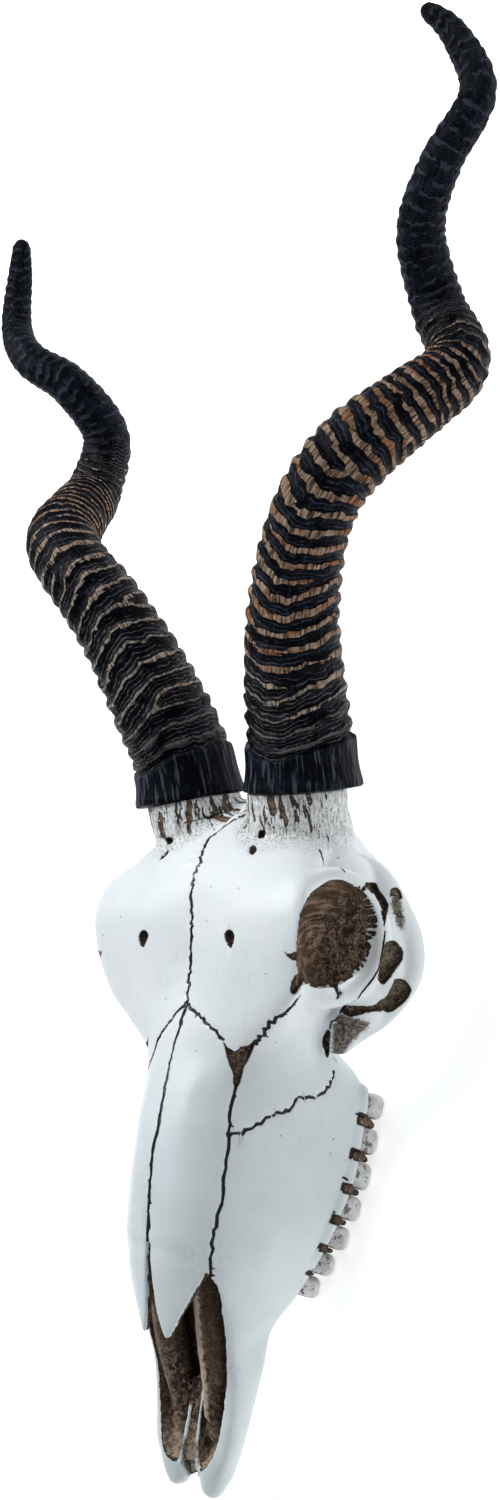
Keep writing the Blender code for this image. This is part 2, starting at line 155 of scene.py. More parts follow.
# %% A desk on which one material's nodes are laid out
class Desk:
    """One new material, with a method that makes any node."""

    def __init__(self, name):
        self.material = bpy.data.materials.new(name)
        self.material.use_nodes = True
        self.tree = self.material.node_tree
        self.tree.nodes.clear()

    def node(self, kind, settings=None, sockets=None, out=0):
        """A node of any type: its settings first, then the values or links of its sockets."""
        made = self.tree.nodes.new(kind)
        for name, value in (settings or {}).items():
            setattr(made, name, value)
        for key, value in (sockets or {}).items():
            if isinstance(value, Wire):
                self.tree.links.new(value.socket, made.inputs[key])
            elif isinstance(value, tuple) and made.inputs[key].type == "RGBA":
                made.inputs[key].default_value = (*value, 1.0)
            else:
                made.inputs[key].default_value = value
        return Wire(self, made.outputs[out]) if made.outputs else None

    def number(self, value):
        made = self.node("ShaderNodeValue")
        made.socket.default_value = value
        return made

    def mark(self, name, out="Fac"):
        """A number, or with out="Vector" three, that was stored on the piece's points."""
        return self.node("ShaderNodeAttribute", {"attribute_name": name}, out=out)

    def skull_place(self):
        """Where a point is in the skull's own frame, in millimetres."""
        sockets = {"Vector": self.node("ShaderNodeTexCoord", out="Object"), "Location": REST_PLACE,
                   "Rotation": (REST_TILT, 0, 0), "Scale": (MM, MM, MM)}
        return self.node("ShaderNodeMapping", {"vector_type": "TEXTURE"}, sockets)

    def grain(self, vector, scale=1.0, detail=3.0, rough=0.55, bend=0.0):
        """Noise; three scales instead of one draw it out along an axis."""
        if isinstance(scale, tuple):
            vector = self.node("ShaderNodeMapping", None, {"Vector": vector, "Scale": scale})
            scale = 1.0
        sockets = {"Vector": vector, "Scale": scale, "Detail": detail, "Roughness": rough,
                   "Distortion": bend}
        return self.node("ShaderNodeTexNoise", None, sockets)

    def cells(self, vector, scale, out):
        return self.node("ShaderNodeTexVoronoi", None, {"Vector": vector, "Scale": scale}, out)

    def parts(self, vector):
        """The three numbers of a vector."""
        first = self.node("ShaderNodeSeparateXYZ", None, {0: vector})
        return [Wire(self, output) for output in first.socket.node.outputs]

    def round_place(self, out, up, spread, pitch):
        """A pattern space whose lines run out from a middle, and the distance from there."""
        away = (out * out + up * up + 0.5).maths("SQRT")
        spun = {0: out / away * spread, 1: up / away * spread, 2: away * pitch}
        return self.node("ShaderNodeCombineXYZ", None, spun), away

    def blend(self, share, first, second):
        """The first colour where the share is 0 and the second where it is 1."""
        settings = {"data_type": "RGBA", "clamp_factor": True}
        return self.node("ShaderNodeMix", settings, {0: share, 6: first, 7: second}, 2)

    def coats(self, colour, *coats):
        """A colour with more laid over it, each a share and the colour that it brings."""
        for share, tone in coats:
            colour = self.blend(share, colour, tone)
        return colour

    def bump(self, height, distance, strength=1.0):
        sockets = {"Height": height, "Distance": distance, "Strength": strength}
        return self.node("ShaderNodeBump", None, sockets)

    def finish(self, colour, roughness, normal, **fixed):
        """The shader itself: what varies is linked, and what is the same all over is set."""
        sockets = {"Base Color": colour, "Roughness": roughness, "Normal": normal, **fixed}
        sockets = {key.replace("_", " "): value for key, value in sockets.items()}
        shader = self.node("ShaderNodeBsdfPrincipled", None, sockets)
        self.node("ShaderNodeOutputMaterial", None, {"Surface": shader})
        return self.material


print("shader words ready")

# %% [markdown]
# ## Floor and light
#
# The photograph is a cut-out on pure white with soft light from above. A pale floor under
# one large lamp, two weaker ones and a bright sky give the same, with a faint shadow under
# the skull so that it is seen to lie on something.

# %% Floor
FLOOR_SIZE = 12.0
bpy.ops.object.select_all(action="DESELECT")
bpy.ops.mesh.primitive_plane_add(size=FLOOR_SIZE)
floor = bpy.context.object
floor.name = "floor"
floor_desk = Desk("floor_white")
floor_place = floor_desk.node("ShaderNodeTexCoord", out="Object")
cloudy = floor_desk.grain(floor_place, 3.0)
floor_tone = floor_desk.blend(cloudy, (0.92, 0.92, 0.92), (0.95, 0.95, 0.95))
floor_desk.finish(
    floor_tone, 0.9, floor_desk.bump(floor_desk.grain(floor_place, 900.0), 0.0001),
    Emission_Color=(1.0, 1.0, 1.0), Emission_Strength=0.6,
)
floor.data.materials.append(floor_desk.material)
print("floor laid")

# %% Lamps and sky
SKY_STRENGTH = 0.28


def lamp(name, place, aim, size, power, colour=(1.0, 1.0, 1.0)):
    """A square soft lamp that looks at a point."""
    data = bpy.data.lights.new(name, "AREA")
    data.shape = "SQUARE"
    data.size = size
    data.energy = power
    data.color = colour
    lit = bpy.data.objects.new(name, data)
    bpy.context.scene.collection.objects.link(lit)
    lit.location = place
    lit.rotation_euler = (Vector(aim) - Vector(place)).to_track_quat("-Z", "Y").to_euler()


lamp("key", (-0.75, 0.45, 1.65), (0, -0.05, 0.1), 0.9, 27.5, (0.96, 0.98, 1.0))
lamp("fill", (0.9, -1.5, 1.2), (0, -0.1, 0.1), 1.4, 2.0)
lamp("edge", (0.5, 1.6, 0.9), (0, 0.1, 0.15), 0.9, 4.0, (0.9, 0.95, 1.0))

sky = bpy.data.worlds.new("sky")
sky.use_nodes = True
sky.node_tree.nodes["Background"].inputs["Color"].default_value = (0.93, 0.96, 1.0, 1.0)
sky.node_tree.nodes["Background"].inputs["Strength"].default_value = SKY_STRENGTH
bpy.context.scene.world = sky
bpy.context.scene.view_settings.view_transform = "Standard"

# %% [markdown]
# ## Ways to make a skin
#
# Bone and horn have no straight edges, so a primitive box won't do. A flat grid, draped
# over rings of points and closed along its seam and at its ends, makes any body that has
# sections along a line: the face, the bars of the cheek, the pedicles, the horn sheaths.

# %% Curves through given stations
def smooth_point(points, place):
    """The point at a place, counted in spans, of a smooth curve through all the points."""
    span = min(int(place), len(points) - 2)
    t = place - span
    before = points[max(span - 1, 0)]
    here, there = points[span], points[span + 1]
    after = points[min(span + 2, len(points) - 1)]
    return tuple(
        0.5 * (2 * b + (c - a) * t + (2 * a - 5 * b + 4 * c - d) * t * t
               + (3 * b - a - 3 * c + d) * t * t * t)
        for a, b, c, d in zip(before, here, there, after)
    )


def smooth_curve(points, steps):
    count = (len(points) - 1) * steps
    return [smooth_point(points, i / steps) for i in range(count + 1)]


def smooth_ring(points, steps):
    """The same for a closed line, without its first point again at the end."""
    return smooth_curve((*points, points[0]), steps)[:-1]


def turns(count):
    """Angles at even steps round a circle."""
    return [2 * math.pi * k / count for k in range(count)]


def angle_between(angles, centre):
    """How far angles are from a centre, from -pi to pi."""
    return (angles - centre + math.pi) % (2 * math.pi) - math.pi


def across_frames(line):
    """Two unit vectors across a line at each of its points, carried along without twist."""
    frames = []
    side = Vector((1, 0, 0))
    for i in range(len(line)):
        along = (line[min(i + 1, len(line) - 1)] - line[max(i - 1, 0)]).normalized()
        side = (side - along * side.dot(along)).normalized()
        frames.append((side, along.cross(side)))
    return frames


def reach_along(points):
    """The distance along a line of points up to each of them."""
    return np.concatenate([[0], np.cumsum(np.linalg.norm(np.diff(points, axis=0), axis=1))])


def followed(places, steps, values):
    """Rows of values, given at steps along a line, read at other places along it."""
    return np.stack([np.interp(places, steps, column) for column in values.T], -1)


def looked_up(table, places):
    """What a table of places and values gives at other places."""
    table = np.array(table, float)
    return followed(places, table[:, 0], table[:, 1:])


print("a curve through three points:", len(smooth_curve(((0, 0), (1, 1), (2, 0)), 4)), "points")

# %% A sheet draped over rings and closed
WELD = 1e-6


def select_only(*pieces):
    if bpy.context.mode != "OBJECT":
        bpy.ops.object.mode_set(mode="OBJECT")
    bpy.ops.object.select_all(action="DESELECT")
    for piece in pieces:
        piece.select_set(True)
    bpy.context.view_layer.objects.active = pieces[0]


def closed_sheet(name, rings, marks=None):
    """A closed skin over rings of points, made from a grid; marks are stored on its points."""
    rows, columns = len(rings), len(rings[0])
    bpy.ops.object.select_all(action="DESELECT")
    bpy.ops.mesh.primitive_grid_add(x_subdivisions=columns, y_subdivisions=rows - 1, size=1)
    sheet = bpy.context.object
    sheet.name = name
    wrapped = np.array(rings, float)
    wrapped = np.concatenate([wrapped, wrapped[:, :1]], axis=1).reshape(-1, 3) * MM
    sheet.data.vertices.foreach_set("co", wrapped.astype(np.float32).ravel())
    for key, values in (marks or {}).items():
        kind, field = ("FLOAT_VECTOR", "vector") if values.ndim == 3 else ("FLOAT", "value")
        stored = sheet.data.attributes.new(key, kind, "POINT")
        values = np.concatenate([values, values[:, :1]], axis=1)
        stored.data.foreach_set(field, values.astype(np.float32).ravel())
    bpy.ops.object.mode_set(mode="EDIT")
    bpy.ops.mesh.select_all(action="SELECT")
    bpy.ops.mesh.remove_doubles(threshold=WELD)
    bpy.ops.mesh.select_all(action="SELECT")
    bpy.ops.mesh.fill_holes(sides=0)
    bpy.ops.mesh.normals_make_consistent(inside=False)
    bpy.ops.object.mode_set(mode="OBJECT")
    return sheet


print("sheets are welded at", WELD * 1000, "mm")

# %% Bars and lumps
BAR_STEPS = 6
# How far past each end a bar's two closing rings lie and how wide they are, in its radii
BAR_ENDS = ((0.9, 0.4), (0.6, 0.8))


def bar(stations, sides=24, side=1):
    """A round bar through stations of x, v, d and radius, with rounded ends."""
    dense = [(Vector(station[:3]), station[3]) for station in smooth_curve(stations, BAR_STEPS)]
    (start, start_radius), (end, end_radius) = dense[0], dense[-1]
    first = (start - dense[1][0]).normalized() * start_radius
    last = (end - dense[-2][0]).normalized() * end_radius
    before = [(start + first * far, start_radius * wide) for far, wide in BAR_ENDS]
    after = [(end + last * far, end_radius * wide) for far, wide in reversed(BAR_ENDS)]
    line = before + dense + after
    rings = []
    for (point, radius), (across, up) in zip(line, across_frames([point for point, _ in line])):
        ring = [point + (across * math.cos(a) + up * math.sin(a)) * radius for a in turns(sides)]
        rings.append([(side * p.x, p.y, p.z) for p in ring])
    return closed_sheet("bar", rings)


def lump(centre, radii, turn=0.0, side=1):
    """An ellipsoid, turned about x by some degrees."""
    bpy.ops.object.select_all(action="DESELECT")
    bpy.ops.mesh.primitive_uv_sphere_add(
        segments=40, ring_count=24, radius=MM,
        location=Vector((side * centre[0], *centre[1:])) * MM,
        rotation=(math.radians(turn), 0, 0), scale=radii,
    )
    return bpy.context.object


def pair(make, shape, *rest, **settings):
    """The same bar or lump on the skull's left and, mirrored, on its right."""
    return [make(shape, *rest, side=side, **settings) for side in (1, -1)]


print("a bar has", BAR_STEPS, "rings to each span")

# %% Join, fuse, cut and measure
def joined(name, pieces):
    select_only(*pieces)
    bpy.ops.object.transform_apply(location=True, rotation=True, scale=True)
    bpy.ops.object.join()
    whole = bpy.context.object
    whole.name = name
    return whole


def worked(piece, kind, **settings):
    """The piece after one modifier, applied."""
    modifier = piece.modifiers.new(kind.lower(), kind)
    for name, value in settings.items():
        setattr(modifier, name, value)
    select_only(piece)
    bpy.ops.object.modifier_apply(modifier=modifier.name)
    return piece


def fused(piece, voxel, passes):
    """Overlapping shapes made one skin, then relaxed."""
    worked(piece, "REMESH", mode="VOXEL", voxel_size=voxel * MM)
    return worked(piece, "SMOOTH", factor=0.5, iterations=passes)


def shaped_with(piece, operation, tool):
    worked(piece, "BOOLEAN", operation=operation, solver="MANIFOLD", object=tool)


def skin_of(piece):
    """The piece's surface, ready to be asked for its nearest point."""
    select_only(piece)
    return BVHTree.FromObject(piece, bpy.context.evaluated_depsgraph_get())


def read(items, name):
    """One vector of each item of a mesh, such as the places of its points, as rows."""
    flat = np.empty(len(items) * 3, np.float32)
    items.foreach_get(name, flat)
    return flat.reshape(-1, 3).astype(float)


print("skin tools ready")

# %% [markdown]
# ## The bone
#
# A skull is many bones grown together. Its face and braincase follow sections that
# change slowly from nose to nape, so they are one sheet. The rim round each eye, the
# cheek arch and the pedicles are bars and lumps that a voxel remesh fuses to it, as
# bone is fused. What is hollow is cut out afterwards with soft-edged solids.

# %% Sections of the face and braincase
# v, then the half outline: crown, half way, upper edge, side, lower edge, inner lower
# edge and underside, each x and d
SECTIONS = (
    (-276, (0, 45), (8, 48), (17, 48.5), (21, 43), (17.5, 35), (7, 33), (0, 34)),
    (-262, (0, 45), (11, 48), (24, 48.5), (26.5, 40), (20.5, 27.5), (9, 26), (0, 28)),
    (-246, (0, 42), (12, 44), (27, 43.5), (30, 33), (23.5, 21), (10, 18), (0, 21)),
    (-224, (0, 38), (14, 39), (30, 38.5), (32, 26), (27, 11), (12, 9), (0, 12)),
    (-208, (0, 38), (16, 39), (32, 38.5), (33, 22), (28.5, 4), (14, 3), (0, 8)),
    (-198, (0, 38), (17, 39), (34, 38.5), (36.5, 14), (31, -13), (17, -10), (0, -1)),
    (-186, (0, 39), (18, 40.5), (34.5, 39.5), (38.5, 9), (36, -25), (21, -23), (0, -9)),
    (-165, (0, 50), (17, 49), (33.5, 43), (42, 5), (46, -39), (29, -37), (0, -20)),
    (-150, (0, 57), (18, 54), (33, 40), (44, 1), (51, -46), (32, -45), (0, -27)),
    (-135, (0, 54), (18, 51), (34, 35), (46, -5), (53, -52), (34, -52), (0, -34)),
    (-120, (0, 50), (19, 46), (34, 30), (47, -11), (54, -59), (35, -59), (0, -41)),
    (-105, (0, 46), (19, 41), (34, 24), (48, -18), (54, -65), (36, -67), (0, -49)),
    (-90, (0, 39), (19, 35), (34, 18), (49, -22), (51, -58), (38, -71), (0, -56)),
    (-75, (0, 31), (19, 27), (35, 12), (49.5, -20), (48.5, -45), (35, -65), (0, -62)),
    (-60, (0, 23), (24, 17), (42, 5.5), (54.5, -18), (49, -42), (33, -70), (0, -67)),
    (-45, (0, 16), (28, 12), (59, 2.5), (60, -22), (53, -54), (32, -78), (0, -74)),
    (-30, (0, 8), (34, 8), (74, 1), (61, -25), (57, -64), (33, -90), (0, -88)),
    (-15, (0, 2), (38, 6), (80, 0), (59, -28), (58, -70), (34, -102), (0, -98)),
    (0, (0, -1), (40, 4), (83.5, -1), (59, -30), (58, -75), (34, -110), (0, -106)),
    (15, (0, -4), (40, 0), (83.5, -4), (62, -34), (59, -82), (33, -119), (0, -115)),
    (30, (0, -9), (38, -9), (79, -13), (68, -45), (59, -87), (26, -122), (0, -123)),
    (45, (0, -20), (34, -22), (60, -30), (62, -58), (42, -88), (21.5, -119), (0, -126)),
    (58, (0, -42), (30, -38), (46, -46), (50, -66), (35, -90), (20, -112), (0, -120)),
    (68, (0, -62), (20, -60), (34, -68), (36, -82), (28, -98), (17, -108), (0, -112)),
)


def face_and_braincase():
    rows = [(row[0], *(number for point in row[1:] for number in point)) for row in SECTIONS]
    rings = []
    for row in smooth_curve(rows, 5):
        v, half = row[0], [(row[i], row[i + 1]) for i in range(1, 15, 2)]
        left = [(max(x, 0), v, d) for x, d in smooth_curve(half, 6)]
        rings.append(left + [(-x, v, d) for x, v, d in left[-2:0:-1]])
    return closed_sheet("face", rings)

# %% The two nasal bones
# v, inner and outer edge, height of each of those edges and thickness
NASAL_SECTIONS = (
    (-140, 0.8, 33, 54, 36, 9),
    (-152, 1.3, 33, 57.5, 41, 8),
    (-160, 1.8, 32.5, 59, 44.5, 7),
    (-165, 2.1, 29.5, 59.6, 47.5, 6.5),
    (-170, 2.5, 26.0, 60, 50.5, 6),
    (-177, 3.2, 21.5, 60.5, 53.5, 5.5),
    (-184, 4.3, 17.0, 61, 56, 5),
    (-190, 5.8, 13.5, 61, 58, 4.5),
    (-195.5, 7.6, 10.4, 60.7, 59.7, 4),
)


def nasal_bones():
    made = []
    for side in (1, -1):
        rings = []
        for v, inner, outer, top, edge, thick in smooth_curve(NASAL_SECTIONS, 4):
            middle = 0.5 * (inner + outer)
            crown = 0.5 * (top + edge) + 0.14 * (outer - inner) * (top - edge) / 15
            above = smooth_curve(((inner, top), (middle, crown), (outer, edge)), 6)
            below = [(x, d - thick) for x, d in reversed(above)]
            rings.append([(side * x, v, d) for x, d in above + below])
        made.append(closed_sheet("nasal", rings))
    return made

# %% Orbits, cheek arches, pedicles and the back of the skull
ORBIT_RIM = (
    (63, -28, -10, 5), (73, -15, -7, 4.5), (77, 2, -7, 4.5), (78, 17, -11, 4.5),
    (79, 26, -20, 5), (84, 25, -35, 5), (86, 14, -51, 5), (85, -3, -60, 5.5),
    (81, -20, -61, 6), (74, -33, -54, 7), (66, -38, -39, 7), (61, -36, -23, 7),
    (63, -28, -10, 5),
)
CHEEK_ARCH = (
    (44, 33, -76, 9), (57, 26, -74, 9), (70.5, 17, -77.5, 9.5), (77.5, -4, -84, 9),
    (78, -20, -89, 9), (77, -36, -87, 8.5), (73, -48, -79.5, 7.2), (66, -57, -71, 6.8),
    (59, -62, -60, 7.2), (54, -63, -50, 11),
)
PEDICLE = (
    (37, 28, -60, 30), (38, 45, -58, 29.5), (39.5, 58, -55.5, 28.5), (41.5, 68, -55, 28),
    (42.5, 76, -55, 27.5),
)
# Left cheek teeth from the back one forwards: x, v and d of the middle of each crown
TOOTH_LENGTHS = (14.0, 14.2, 14.5, 13.2, 12.6, 12.0, 11.8)
TOOTH_ROW = (
    (50, -109, -74), (50.5, -126, -65), (50, -143, -57), (47.5, -158, -47.5),
    (43, -172, -39.5), (36.5, -185, -32.5), (29, -196, -26),
)
UP = Vector((0, math.sin(REST_TILT), math.cos(REST_TILT)))
FRONT = Vector((0, -math.cos(REST_TILT), math.sin(REST_TILT)))
# The ridge of bone that holds the teeth: its middle line over the crowns and its radius
GUM_LIFT = 12.0
GUM_OUT = 0.5
GUM_RADIUS = 4.6
SEPTUM_IN = 0.6


def gum_ridge(side=1):
    line = [Vector(place) + UP * GUM_LIFT for place in TOOTH_ROW]
    line = [line[0] * 2 - line[1]] + line + [line[-1] * 2 - line[-2]]
    line = [line[0].lerp(line[1], 0.72)] + line[1:-1] + [line[-1].lerp(line[-2], 0.55)]
    return bar([(p.x + GUM_OUT, p.y, p.z, GUM_RADIUS) for p in line], side=side)


def tooth_gaps():
    """The middle between each two neighbouring teeth of the left row and half the gap there."""
    gaps = []
    row = [(Vector(place), long) for place, long in zip(TOOTH_ROW, TOOTH_LENGTHS)]
    for (a, long_a), (b, long_b) in zip(row, row[1:]):
        gaps.append(((a + b) / 2, (abs((b - a).dot(FRONT)) - 0.5 * (long_a + long_b)) / 2))
    return gaps


def septa(side=1):
    """The thin walls of bone that reach down between the teeth."""
    made = []
    for middle, half in tooth_gaps():
        wide = half + 1.0
        line = [middle + UP * 13, middle + UP * 6, middle - UP * 1.5]
        stations = [(p.x - SEPTUM_IN, p.y, p.z, wide * s) for p, s in zip(line, (1.1, 1, 0.8))]
        made.append(bar(stations, side=side))
    return made


def outer_bones():
    made = pair(bar, ORBIT_RIM) + pair(bar, CHEEK_ARCH)
    made += pair(lump, (70, -3, -34), (15, 31, 30))
    made += pair(lump, (66, -16, -74), (17, 40, 20), 6)
    made += pair(lump, (62, -46, -62), (13, 18, 15), 10)
    made += pair(lump, (64, 19, -56), (15, 17, 25), -8)
    made += pair(bar, PEDICLE, sides=40)
    made += [gum_ridge(1), gum_ridge(-1), *septa(1), *septa(-1)]
    made += pair(bar, ((16, -258, 43, 7), (15, -268, 44, 8), (13.2, -276, 45, 7.2)))
    made.append(lump((0, 33, -88.5), (33, 36, 32), -28))
    made.append(bar(((0, -10, -104, 12), (0, 6, -120, 13), (0, 17, -134, 14))))
    made += pair(bar, ((11, 23, -128, 11), (12, 16, -138, 9.5), (11, 10, -142, 8)))
    made += pair(bar, ((21, 41, -104, 7), (21, 29, -118, 6), (23, 18, -133, 4)))
    made += pair(lump, (28, 10, -122), (9, 13, 9), -28)
    made += pair(bar, ((20, -62, -72, 4), (19, -40, -86, 4), (17, -18, -104, 4)))
    return made

# %% Outlines of the hollows
# The way from which the cheek and the forehead's side are both seen square on
CHEEK_WAY = Vector((0.704, 0, 0.710))
ORBIT_OUTLINE = (
    (85, 24.5, -24), (87.5, 23, -32.5), (89, 14.5, -45.5), (88.5, 4.5, -52.5), (86, -5.5, -55.5),
    (81, -16, -54.5), (77, -26.5, -50), (77.5, -29.5, -38), (75, -31.5, -28), (69.5, -30.5, -20.5),
    (70, -25, -11), (75, -16, -3), (76.5, -8, -2.5), (78.5, 1.5, -3), (80.5, 12, -5.5),
    (82.5, 19.5, -11.5), (83, 23, -21.5),
)
# Depth and width of the slope in mm, then the outline
SLIT = (4.5, 1.6, (
    (88, 20, -46), (82, 18, -61), (80, 16.5, -67), (79.5, 12.5, -69), (80, 9, -71.5), (81, 4.5, -73),
    (81.5, 1, -71.5), (87, -2.5, -62), (88.5, -6, -58.5), (90, 0, -56.5), (90.5, 5, -54.5),
    (90.5, 10, -52), (89.5, 15.5, -49),
))
OVAL = (5.0, 2.2, (
    (88, -14, -59.5), (83, -15.5, -71.5), (83, -19, -76), (82.5, -23.5, -78.5), (82, -27.5, -77),
    (81.5, -31, -72), (79.5, -35, -68.5), (77, -38, -65.5), (81.5, -34, -56.5), (83, -29.5, -55.5),
    (85.5, -19.5, -57.5), (87, -16, -58.5),
))
LOWER = (4.0, 2.5, (
    (80, -36.5, -72), (80, -38, -78.5), (82, -42, -81), (82, -46, -81), (79.5, -50.5, -77.5),
    (76, -53.5, -73.5), (73.5, -54.5, -70.5), (74, -51.5, -64.5), (74.5, -47.5, -60.5),
    (75, -45.5, -68.5), (77.5, -41.5, -70), (79.5, -38, -71),
))
BAND = (2.6, 2.0, (
    (63, -46, -47), (69.5, -46.5, -49.5), (74, -48, -56.5), (74.5, -48, -60), (74, -52.5, -65),
    (73.5, -51, -57), (68.5, -52, -50.5), (64.5, -52, -48.5), (59.5, -50, -48),
))
CRESCENT = (3.0, 1.2, (
    (55.5, -57.5, -40.5), (55, -59, -38.5), (54.5, -63, -35.5), (54, -68.5, -37), (53.5, -72.5, -38.5),
    (53.5, -71.5, -40.5), (56, -64.5, -39.5), (56.5, -59.5, -40.5),
))
WEDGE = (1.6, 0.8, (
    (79.5, -24.5, -23.5), (77, -29, -27.5), (73, -33.5, -34), (72.5, -37, -36.5), (71, -39.5, -33),
    (71.5, -37, -34), (74, -32, -29), (77.5, -28, -24.5),
))
CORNER = (2.2, 1.2, (
    (75.5, -19, -5.5), (71, -25, -11), (68, -29.5, -10.5), (67.5, -31.5, -6.5), (68, -30.5, -3.5),
    (69.5, -26.5, -1.5), (71.5, -22.5, -2), (74, -19.5, -3.5),
))
THORN = (0.8, 0.8, ((69.5, -7, 0), (72.5, -9, -0.5), (76, -8, -2), (75.5, -12, -2), (73, -11, -0.5)))
FLAP = (0.8, 0.8, ((88, 17.5, -40.5), (90, 19, -42), (90.5, 18.5, -46), (90, 16, -45), (88, 16, -43)))
TOP_PATCH = (1.2, 1.0, (
    (81.5, 11.5, -76), (83, 12.5, -79), (84, 10, -81), (84.5, 6.5, -81.5), (84, 5.5, -79.5),
    (82.5, 8, -77.5), (81, 8.5, -76),
))
FISSURE = (2.2, 1.6, (
    (29.5, -52.5, 13), (31.5, -56, 12), (34.5, -58.5, 10), (37, -56.5, 7.5), (40, -56.5, 5.5),
    (43.5, -53.5, 2.5), (39.5, -62, 4.5), (37, -67.5, 7.5), (35.5, -76, 11.5), (34, -75, 13.5),
    (33.5, -70, 12.5), (31.5, -62.5, 13), (30.5, -56.5, 13),
))
BROW_HOLE = (4.0, 1.4, (
    (32, 4, 0), (35, 1.5, 0.5), (35, -2.5, 1.5), (32.5, -5.5, 2), (30, -3, 1.5), (28.5, 0.5, 1),
    (29.5, 3, 0.5),
))
UPPER_HOLE = (3.0, 0.9, (
    (35.0, 52.2, -28), (36.6, 52.8, -28.5), (38.2, 52.0, -29.5), (38.6, 50.4, -29), (37.6, 49.0, -28),
    (35.8, 48.8, -27), (34.8, 50.2, -27),
))
NEXT_HOLE = (3.0, 0.9, (
    (34.6, 45.6, -21.5), (36.2, 46.2, -22), (37.4, 44.6, -22), (37.2, 42.4, -21), (36.0, 41.0, -20),
    (34.6, 41.6, -19.5), (34.0, 43.6, -20),
))
HOLLOW_OUTLINES = (
    SLIT, OVAL, LOWER, BAND, CRESCENT, WEDGE, CORNER, THORN, FLAP, TOP_PATCH, FISSURE, BROW_HOLE,
    UPPER_HOLE, NEXT_HOLE,
)
# Painted shade, a speckled brownish tone where the bone is hardly hollow: beside the arch's front bar, and
# its underside by the crescent; the palate's end gets the same tone
BESIDE_BAR = (
    (81.5, 9, -76), (83.5, 7, -80), (84, 0, -81), (84, -7, -81.5), (82.5, -11, -78.5), (82, -5, -76.5),
    (81.5, 2, -75.5),
)
PLATE_END = (
    (4.5, -256, 46), (5.2, -266, 49), (3.5, -275, 47), (-3.5, -275, 47), (-5.2, -266, 49), (-4.5, -256, 46),
)
UNDER_ARCH = (
    (59.5, -50, -48), (64.5, -52.5, -48.5), (70.5, -55, -54), (69.5, -59, -57.5), (65, -63.5, -52.5),
    (62, -69, -46.5), (52.5, -78, -48.5), (53.5, -73.5, -44), (58, -63, -40), (57, -55.5, -43.5),
)

# %% What is hollow
NOSE_TROUGH = (
    (-148, 37, 21, 20), (-158, 40, 28.6, 22), (-166, 42, 31.8, 26), (-176, 43, 33.2, 27),
    (-187, 42, 32.0, 27), (-198, 41, 31.0, 26), (-212, 42, 28.8, 26), (-228, 43, 26.0, 24),
    (-246, 46, 23.0, 21), (-256, 49, 20.5, 18), (-263, 53, 16.8, 14), (-269, 58, 11, 10.5),
)
# How far in from the rim each ring of the eye socket lies, and its share of the outline
SOCKET_RINGS = (
    (-16, 1.0), (-5, 1.0), (0, 1.0), (3, 0.99), (8, 0.95), (13, 0.86), (17, 0.70), (20, 0.46),
    (21.5, 0.18),
)
TROUGH_SIDES = 40


def nose_trough():
    rings = []
    for v, d, wide, deep in smooth_curve(NOSE_TROUGH, 4):
        round_it = turns(TROUGH_SIDES)
        rings.append([(wide * math.sin(a), v, d + deep * math.cos(a)) for a in round_it])
    return closed_sheet("trough", rings)


def eye_socket(side=1):
    """A bowl whose mouth is the outline of the orbit."""
    edge = [Vector(point) for point in smooth_ring(ORBIT_OUTLINE, 4)]
    middle = sum(edge, Vector()) / len(edge)
    rings = []
    for deep, share in SOCKET_RINGS:
        flat = min(max(deep / SOCKET_RINGS[-1][0], 0), 1)
        ring = []
        for point in edge:
            offset = point - middle
            along = CHEEK_WAY * offset.dot(CHEEK_WAY)
            p = middle + (offset - along) * share + along * (1 - flat) - CHEEK_WAY * deep
            ring.append((side * p.x, p.y, p.z))
        rings.append(ring)
    return closed_sheet("socket", rings)


def hollows():
    made = [eye_socket(1), eye_socket(-1), nose_trough()]
    made.append(bar(((0, -294, 44, 3.4), (0, -276, 44, 3.2), (0, -268, 46, 3), (0, -258, 48, 2.6))))
    made.append(bar(((0, -62, -88, 13), (0, -48, -88, 14), (0, -30, -96, 10))))
    made.append(bar(((0, 53, -148, 12), (0, 37, -132, 11), (0, 23, -118, 9))))
    return made

# %% What stands inside the nose
NOSE_SCROLL = (
    (18, -150, 34, 9), (18, -172, 34.5, 9), (17, -200, 35, 9), (15.8, -220, 35, 8.4),
    (13.5, -240, 35, 6.8), (12.5, -254, 37, 5),
)
SCROLL_CREST = (
    (18, -166, 43.4, 1.8), (16.8, -194, 44.0, 1.8), (15.8, -212, 43.8, 1.7), (14.2, -228, 43, 1.5),
    (11.5, -243, 42, 1.3),
)
# The paired strips of the palate: their raised edges, and the plate between them
PALATE_EDGE = (
    (3.9, -228, 34, 1.1), (4, -234, 36, 1.1), (4.2, -242, 39.3, 1.1), (4.4, -250, 42.5, 1.2),
    (5.0, -259, 45.8, 1.4), (6.2, -268, 48.0, 1.9),
)
PLATE_DEPTH = 5.0
PLATE_SINK = 1.6


def palate_plate():
    rings = []
    for x, v, d, _ in smooth_curve(PALATE_EDGE, 4):
        top, low = d - PLATE_SINK, d - PLATE_SINK - PLATE_DEPTH
        rings.append([(x, v, top), (0.1 * x, v, top - 0.8), (-0.1 * x, v, top - 0.8), (-x, v, top),
                      (-x, v, low), (0, v, low), (x, v, low)])
    return closed_sheet("plate", rings)

# %% Fuse, carve and fuse again
ROUGH_VOXEL = 1.3
FINE_VOXEL = 1.05
NOSE_VOXEL = 0.9
# The share of its faces that the skin keeps when it is thinned
SKULL_SHARE = 0.18

